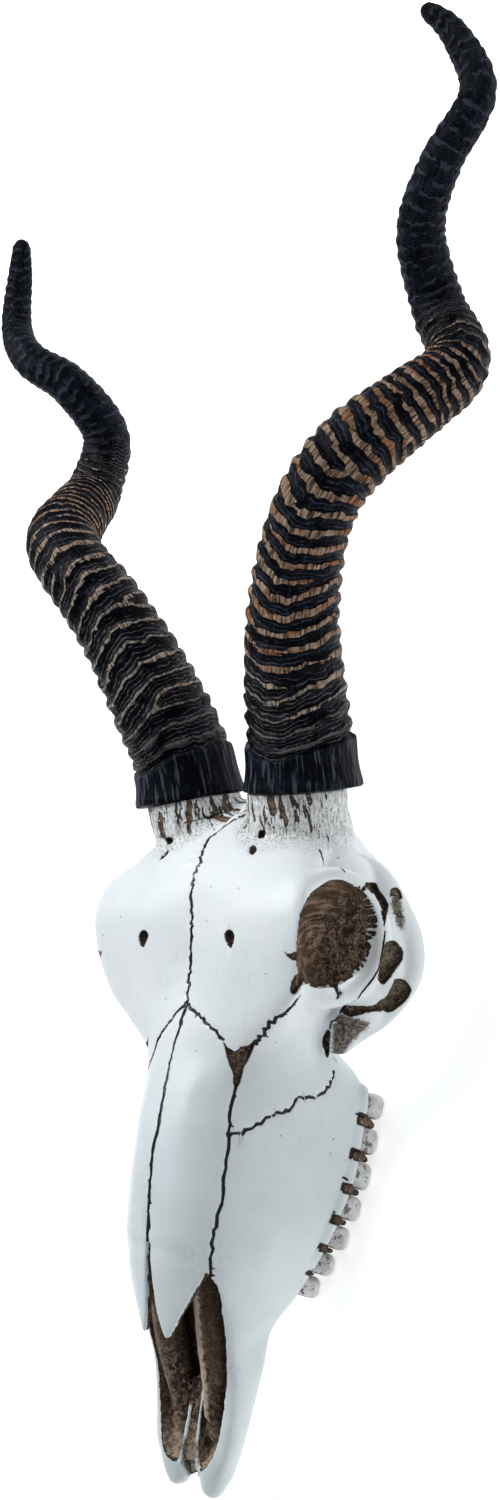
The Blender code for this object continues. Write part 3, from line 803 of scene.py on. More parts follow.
skull = joined("skull_bone", [face_and_braincase(), *nasal_bones(), *outer_bones()])
fused(skull, ROUGH_VOXEL, 6)
carving = fused(joined("carving", hollows()), ROUGH_VOXEL, 1)
whole_skin = skin_of(skull)
shaped_with(skull, "DIFFERENCE", carving)
white_lines = [(x, v, d + 0.9, 0.7 * r) for x, v, d, r in PALATE_EDGE]
white_bars = [bar(white_lines[1:]), bar(white_lines[2:], side=-1)]
white_inside = joined("nasal_tops", nasal_bones() + white_bars)
crests = joined("crests", pair(bar, SCROLL_CREST))
standing = pair(bar, NOSE_SCROLL) + pair(bar, SCROLL_CREST) + pair(bar, PALATE_EDGE)
inner = fused(joined("inner_nose", [*standing, palate_plate(), *nasal_bones()]), NOSE_VOXEL, 1)
shaped_with(skull, "UNION", inner)
fused(skull, FINE_VOXEL, 2)
print("skull skin:", len(skull.data.polygons), "faces")
worked(skull, "DECIMATE", ratio=SKULL_SHARE)
worked(skull, "SMOOTH", factor=0.4, iterations=1)
print("after thinning:", len(skull.data.polygons), "faces")

# %% [markdown]
# ## Where the horns and teeth sit
#
# Each horn sheath slips over a bony core on its pedicle, and each tooth stands in its
# own socket. The skull is trimmed flat under each collar, gets its cores, and is cut
# back round the teeth and at the plane on which it stands.

# %% The line of a horn
# x, v, d and radius from the sheath's mouth to its tip
HORN_LINE = (
    (45.5, 69, -56.5, 28.5), (48.5, 99, -56, 28.5), (57, 135, -49, 26.8), (67.5, 167, -43, 24.4),
    (84.5, 199, -38.5, 22.2), (104, 223.5, -37.5, 21), (123.5, 243, -48, 20.8),
    (138.5, 261, -73.5, 19), (151, 283, -103, 16.5), (139, 317, -109, 14.2),
    (147, 351, -91, 12.5), (172, 375, -80, 10.5), (193, 404, -89, 9), (183, 438, -90, 7),
    (170, 456, -85, 4.5),
)
SOCKET_DEPTH = 30.0
SOCKET_MOUTH_RADIUS = 25.0
SOCKET_END_RADIUS = 19.0
CORE_CLEARANCE = 1.2
CORE_ROOT = 8.0
COLLAR_ROOM = 46.0
# How far over the sheath's mouth the bone ends under the collar, with a gap to it
COLLAR_LIFT = 1.9
COLLAR_LENGTH = 26.0
PLUG_SIDES = 48

horn_dense = np.array(smooth_curve(HORN_LINE, 24))
horn_reach = reach_along(horn_dense[:, :3])
HORN_LENGTH = float(horn_reach[-1])


def horn_at(place):
    """Centre and radius of the left horn's line at a distance along it."""
    return followed(place, horn_reach, horn_dense)


mouth = Vector(horn_at(0)[:3])
mouth_way = (Vector(horn_at(COLLAR_LENGTH * 0.5)[:3]) - mouth).normalized()
mouth_across = (Vector((1, 0, 0)) - mouth_way * mouth_way.x).normalized()
mouth_up = mouth_way.cross(mouth_across)


def on_pedicle(low, high, low_radius, high_radius, side):
    """A tapered round bar on a pedicle, from one height over the sheath's mouth to another."""
    rings = []
    for height, radius in ((low, low_radius), (high, high_radius)):
        ring = []
        for a in turns(PLUG_SIDES):
            out = (mouth_across * math.cos(a) + mouth_up * math.sin(a)) * radius
            point = mouth + mouth_way * height + out
            ring.append((side * point.x, point.y, point.z))
        rings.append(ring)
    return closed_sheet("plug", rings)


print("horn length", round(HORN_LENGTH), "mm")

# %% The tooth row and its sockets
TOOTH_WIDTH = 11.4
TOOTH_ROOT = 15.0
TOOTH_SIDES = 32
# How square a tooth's outline is, and the depth and width of the groove between its lobes
SQUARENESS = 3.2
WAIST = 0.10
WAIST_WIDTH = 0.28
FLOOR_LEVEL = -123.0


def tooth_form(place, rows, side):
    """A tooth from rings of height above the floor, length, width and shift inwards."""
    centre = Vector(place)
    level = centre.dot(UP)
    rings = []
    for height, long, wide, inward in rows:
        middle = centre + UP * (FLOOR_LEVEL + height - level) - Vector((inward, 0, 0))
        ring = []
        for angle in turns(TOOTH_SIDES):
            c, s = math.cos(angle), math.sin(angle)
            round_off = (abs(c) ** SQUARENESS + abs(s) ** SQUARENESS) ** (-1 / SQUARENESS)
            waist = 1 - WAIST * math.exp(-((s / WAIST_WIDTH) ** 2))
            point = middle + Vector((1, 0, 0)) * (c * round_off * waist * wide / 2)
            point += FRONT * (s * round_off * long / 2)
            ring.append((side * point.x, point.y, point.z))
        rings.append(ring)
    return rings


def crown_height(place):
    return Vector(place).dot(UP) - FLOOR_LEVEL


SOCKET_GAP = 0.35
# How far under the chewing faces the sockets' cutters reach
SOCKET_FOOT = -6
# Share of the root's height over the crown, then shares of the length and the width, and
# how far that ring leans into the jaw
ROOT_RINGS = (
    (1.0, 0.72, 0.70, 3.4), (0.6, 0.90, 0.86, 2.0), (0.3, 0.97, 0.96, 0.6), (0.0, 1.0, 1.0, 0.0),
)
sockets = []
for side in (1, -1):
    for place, full in zip(TOOTH_ROW, TOOTH_LENGTHS):
        rows = [
            (crown_height(place) + share * TOOTH_ROOT + SOCKET_GAP * (share == 1),
             long * full + 2 * SOCKET_GAP, wide * TOOTH_WIDTH + 2 * SOCKET_GAP, lean)
            for share, long, wide, lean in ROOT_RINGS
        ]
        rows.append((SOCKET_FOOT, full + 2 * SOCKET_GAP, TOOTH_WIDTH + 2 * SOCKET_GAP, 0))
        sockets.append(closed_sheet("socket", tooth_form(place, rows, side)))
print("sockets:", len(sockets))

# %% Cut and add
for side in (1, -1):
    above = on_pedicle(COLLAR_LIFT, 2 * SOCKET_DEPTH, COLLAR_ROOM, COLLAR_ROOM, side)
    shaped_with(skull, "DIFFERENCE", above)
for side in (1, -1):
    core = on_pedicle(
        -CORE_ROOT, SOCKET_DEPTH - 2 * CORE_CLEARANCE, SOCKET_MOUTH_RADIUS - CORE_CLEARANCE,
        SOCKET_END_RADIUS - CORE_CLEARANCE, side,
    )
    shaped_with(skull, "UNION", core)
tooth_sockets = joined("tooth_sockets", sockets)
shaped_with(skull, "DIFFERENCE", tooth_sockets)
skull.data.transform(TO_REST)
bpy.ops.object.select_all(action="DESELECT")
bpy.ops.mesh.primitive_cube_add(size=1, location=(0, 0, -0.04), scale=(0.4, 0.9, 0.08))
ground = bpy.context.object
ground.name = "ground"
shaped_with(skull, "DIFFERENCE", ground)
skull.data.transform(TO_SKULL)
print("skull cut to its neighbours:", len(skull.data.polygons), "faces")

# %% [markdown]
# ## Sutures and small holes
#
# The bones of the face meet along zigzag seams, open and dark in a cleaned skull. Each is
# set by a few stations on the surface, made jagged by seeded chance and pressed into the
# skin as a real groove. The skin is divided more finely there first.

# %% Where the seams run
# A station is x, v and d. Each row of a table: width, jag and step in mm, then stations
FRONT_SEAM = (
    (8.5, 60.5, -45), (3, 59.5, -44.5), (-2, 55.5, -37), (-4, 50.5, -28.5), (-2.5, 46, -21),
    (0, 39, -14.5), (-2, 33, -11), (-1, 25, -7), (1, 8, -3), (0, -4, 0), (0, -16, 3), (1, -28, 7),
    (1.5, -34.5, 10),
)
BETWEEN_NASALS = (
    (1.5, -34.5, 10), (0.5, -44, 15.5), (-2, -58, 21.5), (-1.5, -71, 28.5), (0.5, -89.5, 38.5),
    (0.5, -101, 44), (0, -118, 49.5), (0, -135, 54), (0, -149, 57.5),
)
MIDDLE_SEAMS = (
    (1.7, 1.0, 3.6, FRONT_SEAM),
    (1.9, 0.45, 4.5, BETWEEN_NASALS),
    (1.5, 1.1, 4.2, ((1.5, -34.5, 10), (9.5, -38, 12), (17, -42, 13), (25, -47.5, 13.5),
                     (30, -52, 12.5))),
    (1.5, 0.5, 5.0, ((1.5, -34.5, 10), (-3, -37, 12), (-7, -41, 14), (-11, -45, 15), (-17, -51.5, 16),
                     (-21, -59, 17), (-23, -70, 18))),
    (0.5, 0.5, 3.0, ((-28, 60, -34), (-18, 61.5, -43.5), (-13, 62.5, -48.5), (-2, 62.5, -50),
                     (6, 61.5, -47))),
    (0.7, 0.3, 3.0, ((-21.5, 67, -41.5), (-21, 63, -40.5), (-18.5, 60.5, -42), (-14.5, 60.5, -44))),
)
# Short cracks in the jaw over the teeth
ABOVE_TEETH = (
    ((54.5, -107.5, -55), (54.5, -111, -60)), ((54, -126, -49), (53.5, -128.5, -54)),
    ((52.5, -138, -39.5), (52.5, -141.5, -45)), ((49.5, -154.5, -32), (49, -158, -37.5)),
    ((44.5, -170, -26.5), (44, -172, -31)), ((37.5, -185.5, -21), (37, -187, -25)),
)
SIDE_SEAMS = (
    (1.8, 1.3, 3.6, ((44, -53.5, 3), (48.2, -49.5, 2.7), (56, -43.5, 2), (62, -38.5, 1), (67.7, -33, -0.8),
                     (70.7, -29.5, -3.8))),
    (1.5, 0.7, 5.0, ((34.5, -76, 12.5), (34, -80.5, 15), (34, -90, 18.5), (34, -98.5, 21.5), (34, -109, 25),
                     (34.5, -120.5, 29.5), (33.8, -131.5, 33.3), (31.3, -146.5, 39.3), (31.6, -160, 43.7),
                     (31.5, -166, 45.5))),
    (1.5, 1.0, 4.0, ((33.5, -98.5, 22), (37, -99.5, 15), (38.5, -98.5, 10.5), (41, -97, 3.5),
                     (43.5, -94.5, -3.5), (45.5, -95, -10.5), (48, -90.5, -18), (49.5, -90, -24.5),
                     (51, -92, -32), (52.5, -88.5, -39.5), (53, -81.5, -47))),
    (0.9, 0.1, 6.0, ((88.5, -8, -58.5), (85.5, -19.5, -57.5), (83.5, -27.5, -55.5), (80.5, -33, -52),
                     (77, -38.5, -47), (63, -46.5, -46.5), (55.5, -53, -45), (56, -57, -41))),
    (1.5, 0.6, 3.0, ((69, 39.5, -37.5), (72, 37, -37), (74.5, 34.8, -37.5))),
    (0.8, 0.6, 2.5, ((74.5, 34.8, -37.5), (77.5, 31.5, -38), (84, 29, -34), (88, 27.5, -34))),
    (0.4, 0.3, 2.5, ((69, 45.5, -47), (73, 42.5, -48), (76.5, 39, -48))),
    *((0.9, 0.3, 2.0, crack) for crack in ABOVE_TEETH),
)
print("seams:", len(MIDDLE_SEAMS) + 2 * len(SIDE_SEAMS))

# %% Seams as jagged lines on the surface
LINE_STEP = 0.25
# Seams more jagged than this send out short spurs at some of their corners
SPUR_JAG = 0.4
SPUR_SHARE = 0.22

chance = np.random.default_rng(11)
skin = skin_of(skull)


def jagged(width, jag, step, stations):
    """Close points of a jagged line that follows stations on the skin, each with its half width."""
    smooth = np.array(smooth_curve(stations, 12), np.float32)
    reach = reach_along(smooth)
    corners, place, number = [], 0.0, 0
    while place < reach[-1]:
        here, ahead, back = (Vector(followed(place + far, reach, smooth)) for far in (0, 2, -2))
        _, normal, _, _ = skin.find_nearest(here * MM)
        across = normal.cross((ahead - back).normalized())
        turn = chance.choice((1, -1), p=(0.8, 0.2)) * (1 if number % 2 else -1)
        swing = chance.uniform(0.15, 1.0) * jag * turn * (number > 0)
        corners.append((here + across * swing, across * (1 if swing > 0 else -1), ahead - back))
        place += step * chance.uniform(0.25, 1.2)
        number += 1
    corners.append((Vector(smooth[-1]), Vector(), Vector()))
    line = []
    for (start, way, along), (end, _, _) in zip(corners, corners[1:]):
        count = max(int((end - start).length / LINE_STEP), 1)
        low, high = chance.uniform(0.55, 1.25, 2)
        for i in range(count):
            share = i / count
            line.append((start.lerp(end, share), 0.5 * width * (low + (high - low) * share)))
        if jag > SPUR_JAG and chance.random() < SPUR_SHARE:
            spur = chance.uniform(1.0, 2.6)
            lean = along.normalized() * chance.uniform(-0.6, 0.6)
            for i in range(int(spur / LINE_STEP)):
                share = i * LINE_STEP / spur
                half = 0.5 * width * (0.7 - 0.5 * share)
                line.append((start + (way + lean) * (share * spur), half))
    return [(skin.find_nearest(point * MM)[0], half) for point, half in line]


def tree_of(points):
    tree = KDTree(len(points))
    for index, point in enumerate(points):
        tree.insert(point, index)
    tree.balance()
    return tree


seam_points = []
for row in MIDDLE_SEAMS:
    seam_points += jagged(*row)
for width, jag, step, stations in SIDE_SEAMS:
    for side in (1, -1):
        seam_points += jagged(width, jag, step, [(side * x, v, d) for x, v, d in stations])
seam_tree = tree_of([point for point, _ in seam_points])


def seam_depth(point):
    """How far a point is inside a seam, in mm; outside it is less than 0."""
    found = seam_tree.find_n(point, 4)
    return max(seam_points[index][1] - distance / MM for _, index, distance in found)


print("seam points:", len(seam_points))

# %% How far points are inside the outlines
# The depth that stands for any point well outside, and how far in front of or behind an
# outline's middle, and how far past its edge, the skin still belongs to it, all in mm
FAR = -4.0
CHEEK_REACH = 16.0
EDGE_REACH = 14
# Skin that faces further away than this from the outline's viewpoint is left alone
AWAY = -0.7


def eased(value, low, high):
    share = np.clip((value - low) / (high - low), 0, 1)
    return share * share * (3 - 2 * share)


def inside_outline(points, ways, stations, side):
    """How deep points, in mm, lie inside an outline set from the camera's place, or less than 0."""
    mirror = np.array((side, 1, 1))
    edge = np.array(smooth_ring(stations, 3)) * mirror
    middle = edge.mean(0)
    way = np.array(CAMERA_PLACE) / MM * mirror - middle
    way /= np.linalg.norm(way)
    across = np.cross((0, 1, 0), way)
    across /= np.linalg.norm(across)
    upwards = np.cross(way, across)
    flat_edge = np.stack([edge @ across, edge @ upwards], 1)
    depth = np.full(len(points), FAR)
    offset = points - middle
    near = np.abs(offset @ way) < CHEEK_REACH
    wide = np.linalg.norm(edge - middle, axis=1).max() + EDGE_REACH
    near &= np.linalg.norm(offset, axis=1) < wide
    near &= ways @ way > AWAY
    chosen = np.nonzero(near)[0]
    flat = np.stack([points[chosen] @ across, points[chosen] @ upwards], 1)
    least = np.full(len(chosen), 1e9)
    within = np.zeros(len(chosen), bool)
    for a, b in zip(flat_edge, np.roll(flat_edge, -1, axis=0)):
        span = b - a
        share = np.clip(((flat - a) @ span) / max(span @ span, 1e-9), 0, 1)
        least = np.minimum(least, np.linalg.norm(flat - a - share[:, None] * span, axis=1))
        crosses = (a[1] > flat[:, 1]) != (b[1] > flat[:, 1])
        if abs(span[1]) > 1e-9:
            crosses &= flat[:, 0] < a[0] + (flat[:, 1] - a[1]) * span[0] / span[1]
            within ^= crosses
    depth[chosen] = np.where(within, least, -least)
    return np.maximum(depth, FAR)


def outline_depths(points, ways, stations):
    """The same for an outline and its mirror image, whichever is deeper."""
    return np.maximum(*(inside_outline(points, ways, stations, side) for side in (1, -1)))


print("outlines:", len(HOLLOW_OUTLINES))

# %% Divide the skin where detail goes
# How near a seam or an outline the skin is divided, once and once more, and how far down
# the pedicles and how far out from their axes, in mm
NEAR_FAR = 1.9
NEAR_CLOSE = 0.85
PEDICLE_FINE = 19.0
PEDICLE_OUT = 42


def on_left(points):
    """Points of the right half moved to their mirror images on the left."""
    return points * np.where(points[:, :1] < 0, (-1, 1, 1), (1, 1, 1))


def above_pedicle(points):
    """Height over the sheath's mouth and distance from its axis in mm, and the angle round it."""
    left = on_left(points) - np.array(mouth)
    height = left @ np.array(mouth_way)
    offset = left - height[:, None] * np.array(mouth_way)
    angle = np.arctan2(offset @ np.array(mouth_up), offset @ np.array(mouth_across))
    return height, np.linalg.norm(offset, axis=1), angle


def divide_near(piece, reach, pedicle_reach):
    """Splits the faces close to a seam or an outline in four."""
    centres, normals = read(piece.data.polygons, "center"), read(piece.data.polygons, "normal")
    chosen = np.array([seam_depth(Vector(c)) > -reach for c in centres])
    for _, slope, stations in HOLLOW_OUTLINES:
        depth = outline_depths(centres / MM, normals, stations)
        chosen |= (depth > -reach * 0.8) & (depth < slope + 0.5 * reach)
    chosen |= np.abs(outline_depths(centres / MM, normals, ORBIT_OUTLINE)) < 0.8 * reach
    height, away, _ = above_pedicle(centres / MM)
    beside = (height > -pedicle_reach) & (height < 2) & (away < PEDICLE_OUT)
    chosen |= beside & (pedicle_reach > 0)
    select_only(piece)
    bpy.ops.object.mode_set(mode="EDIT")
    bpy.ops.mesh.select_mode(type="FACE")
    bpy.ops.mesh.select_all(action="DESELECT")
    bpy.ops.object.mode_set(mode="OBJECT")
    piece.data.polygons.foreach_set("select", chosen)
    bpy.ops.object.mode_set(mode="EDIT")
    bpy.ops.mesh.subdivide(number_cuts=1, smoothness=0)
    bpy.ops.mesh.select_all(action="SELECT")
    bpy.ops.mesh.quads_convert_to_tris(quad_method="BEAUTY", ngon_method="BEAUTY")
    bpy.ops.object.mode_set(mode="OBJECT")


divide_near(skull, NEAR_FAR, PEDICLE_FINE)
print("first fine bands:", len(skull.data.polygons), "faces")
divide_near(skull, NEAR_CLOSE, 0.0)
print("skull with fine bands:", len(skull.data.polygons), "faces")

# %% Marks on the bone: seam, stain, rough and pale
# Turned, or the noise would show its own rows on a skin that lies along them
GRIT_ANGLES = (0.6, 0.9, 0.4)
GRIT_TURN = Euler(GRIT_ANGLES).to_matrix()


def store(piece, name, values):
    stored = piece.data.attributes.new(name, "FLOAT", "POINT")
    stored.data.foreach_set("value", np.asarray(values, np.float32))


def depth_inside(tree, place, most=99.0):
    """How far a point is inside a closed skin, in mm; outside it is less than 0."""
    near, normal, _, distance = tree.find_nearest(place)
    if distance > most * MM:
        return -most
    return distance / MM * (1 if (place - near).dot(normal) < 0 else -1)


places = read(skull.data.vertices, "co")
ways = read(skull.data.vertex_normals, "vector")
points = places / MM
hollow_skin, white_skin = skin_of(carving), skin_of(white_inside)
crest_skin, tooth_skin = skin_of(crests), skin_of(tooth_sockets)
resting = points @ np.array(UP) - FLOOR_LEVEL
rim = smooth_ring(ORBIT_OUTLINE, 12)
rim_tree = tree_of([(side * x, v, d) for x, v, d in rim for side in (1, -1)])
seam, stain, pale = [], [], []
for place, way, level in zip(places, ways, resting):
    point = Vector(place)
    seam.append(seam_depth(point))
    inside = depth_inside(hollow_skin, point)
    pale.append(depth_inside(crest_skin, point, 6.0))
    if inside > -0.4:
        inside = max(0.3, depth_inside(whole_skin, point), inside)
        if -60 < place[1] / MM < 50 and abs(place[0]) / MM > 50:
            inside = min(inside, rim_tree.find(point / MM)[2] + 0.1)
    above_scroll = way[2] > 0.1 and (place[2] / MM > 47 or place[1] / MM < -200)
    if inside > -3 and depth_inside(white_skin, point, 6.0) > -0.6 and above_scroll:
        inside = FAR
    if level < 40 and depth_inside(tooth_skin, point, 6.0) > -0.5:
        inside = max(inside, 1.5)
    stain.append(inside)
seam, stain, pale = np.array(seam), np.array(stain), np.array(pale)
print("points in a seam:", int((seam > 0).sum()))

# %% Gaps between the teeth and strokes under the horns
# How high over the floor the stained gaps end, in mm
GAP_TOP = 21.8
STROKES = 260
LONG_STROKES = 0.14

for middle, half in tooth_gaps():
    offset = on_left(points) - np.array(middle)
    in_gap = np.minimum(half + 0.9 - np.abs(offset @ np.array(FRONT)), 0.6 * (GAP_TOP - resting))
    stain = np.maximum(stain, np.where(np.abs(offset[:, 0]) < 9, in_gap, FAR))

above_mouth, from_axis, round_axis = above_pedicle(points)
rough = eased(above_mouth, -42, -6) * eased(from_axis, 50, 33)
strokes = np.full(len(points), FAR)
for _ in range(STROKES):
    turn, level = chance.uniform(-math.pi, math.pi), -16 * chance.random() ** 1.5
    half_long, half_wide = chance.uniform(1.5, 6.5), chance.uniform(0.25, 0.8)
    if chance.random() < LONG_STROKES:
        level, half_long = chance.uniform(-12, 0), chance.uniform(5, 10)
        half_wide = chance.uniform(0.9, 1.8)
    side = chance.choice((1, -1))
    bend = chance.uniform(-0.2, 0.2)
    up = above_mouth - level
    off = angle_between(round_axis, turn) * from_axis + bend * up + 0.5 * np.sin(up * 0.7)
    within = 1 - np.sqrt((off / half_wide) ** 2 + (up / half_long) ** 2)
    within = np.where((points[:, 0] * side > 0) & (above_mouth < 2) & (from_axis > 24), within, -9)
    strokes = np.maximum(strokes, within * half_wide)
strokes = np.where(from_axis < 44, strokes, FAR)
print("points in a stroke:", int((strokes > 0).sum()))

# %% Press the detail in
SEAM_DEPTH = 0.8
STROKE_DEPTH = 0.8
WRINKLE_SCALE = 0.22
GRIT_SCALE = 0.42

free = eased(resting, 0.6, 2.5) * (above_mouth < COLLAR_LIFT - 0.5)
press = SEAM_DEPTH * eased(seam, -0.15, 0.3)
press -= 0.12 * eased(seam, -0.9, -0.4) * eased(seam, -0.1, -0.4)
for deep, slope, stations in HOLLOW_OUTLINES:
    depth = outline_depths(points, ways, stations)
    press = np.maximum(press, deep * eased(depth, -0.1, slope))
    stain = np.maximum(stain, depth)
# Where the speckled painted shade of the arch goes, and the same tone at the palate's end
under = outline_depths(points, ways, UNDER_ARCH)
for stations in (BESIDE_BAR, PLATE_END):
    under = np.maximum(under, outline_depths(points, ways, stations))
wrinkle = np.array([noise.noise(Vector(p) * WRINKLE_SCALE) for p in points])
grit = np.array([noise.noise(GRIT_TURN @ Vector(p) * GRIT_SCALE) for p in points])
press += eased(strokes, -0.2, 0.5) * STROKE_DEPTH
press += eased(stain, -0.3, 0.8) * (0.35 * grit + 0.5 * wrinkle)
press += rough * 0.35 * np.abs(grit) + 0.12 * wrinkle
store(skull, "seam", np.maximum(seam, FAR))
store(skull, "stain", np.clip(stain, FAR, 4))
store(skull, "strokes", np.maximum(strokes, FAR))
for name, values in (("under", under), ("rough", rough), ("pale", pale)):
    store(skull, name, values)
moved = places - ways * (press * free * MM)[:, None]
skull.data.vertices.foreach_set("co", moved.astype(np.float32).ravel())
skull.data.transform(TO_REST)
skull.data.update()
select_only(skull)
bpy.ops.object.shade_smooth()
print("stained points:", int((stain > 0).sum()), "deepest press", round(float(press.max()), 2), "mm")

# %% [markdown]
# ## The finish of the bone
#
# Bleached bone is a cool white with a soft gloss, darker and browner where boiling and
# bleach don't reach: in the eye sockets, the nose, the pits of the arch and the seams.
# Under the cheek arch and beside its front bar a speckled tone is painted shade, and on
# the nose's near side the brown has painted shade and the scroll's crest a painted highlight.
# The stored marks say where that is, and noise makes their edges ragged.

# %% Patterns that several coats of the bone share
# The middle of the eye socket, and how far out it lies, seen along the cheek's way
ORBIT_MIDDLE = (92.0, -3.0, -14.0)
ORBIT_OUT = 77.0


class BonePatterns:
    """The places, marks, noises and masks that the coats of the bone read."""

    def __init__(self, desk):
        place = self.place = desk.skull_place()
        self.x, self.v, self.d = desk.parts(place)
        for name in ("seam", "stain", "rough", "under", "strokes", "pale"):
            setattr(self, name, desk.mark(name))
        self.cloud = desk.grain(place, 0.018, 4)
        self.fine = desk.grain(place, 0.5, 5, 0.65)
        self.edge = desk.grain(place, 0.35, 3)
        self.fibre = desk.grain(place, (0.55, 0.035, 0.55))
        self.out = self.x.size() * 0.71 - self.d * 0.704 - ORBIT_OUT
        self.up = self.v - ORBIT_MIDDLE[1]
        self.round_eye, self.from_eye = desk.round_place(self.out, self.up, 8.0, 0.16)
        self.near_eye = self.x.size().ramp(42.0, 48.0) * self.v.size().ramp(42.0, 38.0)
        self.near_eye = self.near_eye * self.d.ramp(-58.0, -56.0)
        from_middle = {0: self.x.size() - ORBIT_MIDDLE[0], 1: self.up, 2: self.d - ORBIT_MIDDLE[2]}
        self.swirl = desk.node(
            "ShaderNodeTexWave", {"wave_type": "RINGS", "rings_direction": "SPHERICAL"},
            {"Vector": desk.node("ShaderNodeCombineXYZ", None, from_middle), "Scale": 0.10,
             "Distortion": 7.0, "Detail": 3.0, "Detail Scale": 0.25, "Detail Roughness": 0.55}, out=1,
        )
        turned = desk.node("ShaderNodeVectorRotate", {"rotation_type": "EULER_XYZ"},
                           {"Vector": place, "Rotation": GRIT_ANGLES})
        self.curls = desk.grain(turned, 0.24, 2, 0.5, bend=1.2)
        self.holes = desk.grain(turned, 0.30, 2, 0.5)


print("eye socket's middle at", ORBIT_MIDDLE)

# %% Clean bone
DOT_SCALE = 0.13


def white_bone(desk, p):
    """Cool white, greyer on the snout, dusty and torn under the horns, with painted shade under the cheek
    arch; its dark dots too.
    """
    snout = (p.v + (p.cloud - 0.5) * 30.0).ramp(-36.0, -84.0)
    cloudy = p.cloud.ramp(0.35, 0.7)
    forehead = desk.blend(cloudy, (0.86, 0.895, 0.905), (0.79, 0.84, 0.85))
    face = desk.blend(cloudy, (0.74, 0.80, 0.82), (0.65, 0.72, 0.72))
    picked = desk.parts(desk.cells(p.place, DOT_SCALE, "Color"))[0].ramp(0.66, 0.7)
    dots = desk.cells(p.place, DOT_SCALE, "Distance").ramp(0.075, 0.045) * picked
    pores = desk.grain(p.place, (0.9, 0.5, 0.9), 4, 0.7)
    scratch = desk.grain(p.place, (1.3, 0.16, 1.3), 3, 0.6)
    streaks = desk.grain(p.place, (0.8, 0.13, 0.8), 4, 0.7)
    haze = desk.blend(streaks.ramp(0.4, 0.6), (0.44, 0.41, 0.36), (0.27, 0.235, 0.19))
    dusty = streaks.ramp(0.46, 0.60) * 0.55 + p.edge.ramp(0.45, 0.6) * 0.25
    patchy = p.edge.ramp(0.4, 0.6)
    ochre = desk.blend(patchy, (0.04, 0.03, 0.022), (0.17, 0.12, 0.08))
    inner_brown = desk.blend(patchy, (0.20, 0.135, 0.085), (0.06, 0.04, 0.028))
    worn = pores.ramp(0.585, 0.62) * 0.9 + scratch.ramp(0.61, 0.645)
    worn = worn * (p.rough + (p.cloud - 0.5)).ramp(0.05, 0.6)
    torn = p.strokes + (p.fine - 0.5) * 0.5
    # Painted shade: a speckled brownish tone under the cheek arch and beside its front bar, the same at the
    # palate's end
    shade = (p.under + (p.fine - 0.5) * 5.0 + (p.edge - 0.5) * 2.5).ramp(-1.0, 1.0)
    grey = desk.blend(p.fine.ramp(0.45, 0.54), (0.028, 0.020, 0.013), (0.20, 0.165, 0.12))
    white = desk.coats(
        desk.blend(snout, forehead, face),
        (p.fibre.ramp(0.5, 0.85) * 0.3, (0.58, 0.63, 0.63)),
        (dots * 0.9, (0.09, 0.07, 0.055)),
        (p.rough.ramp(0.1, 0.9) * dusty, haze),
        (worn.least(1.0), ochre),
        (torn.ramp(-0.18, 0.0), (0.03, 0.024, 0.02)),
        (torn.ramp(0.12, 0.3), inner_brown),
        (shade * 0.97, grey),
    )
    return white, dots


print("clean bone: dots in cells of", round(1 / DOT_SCALE, 1), "mm")

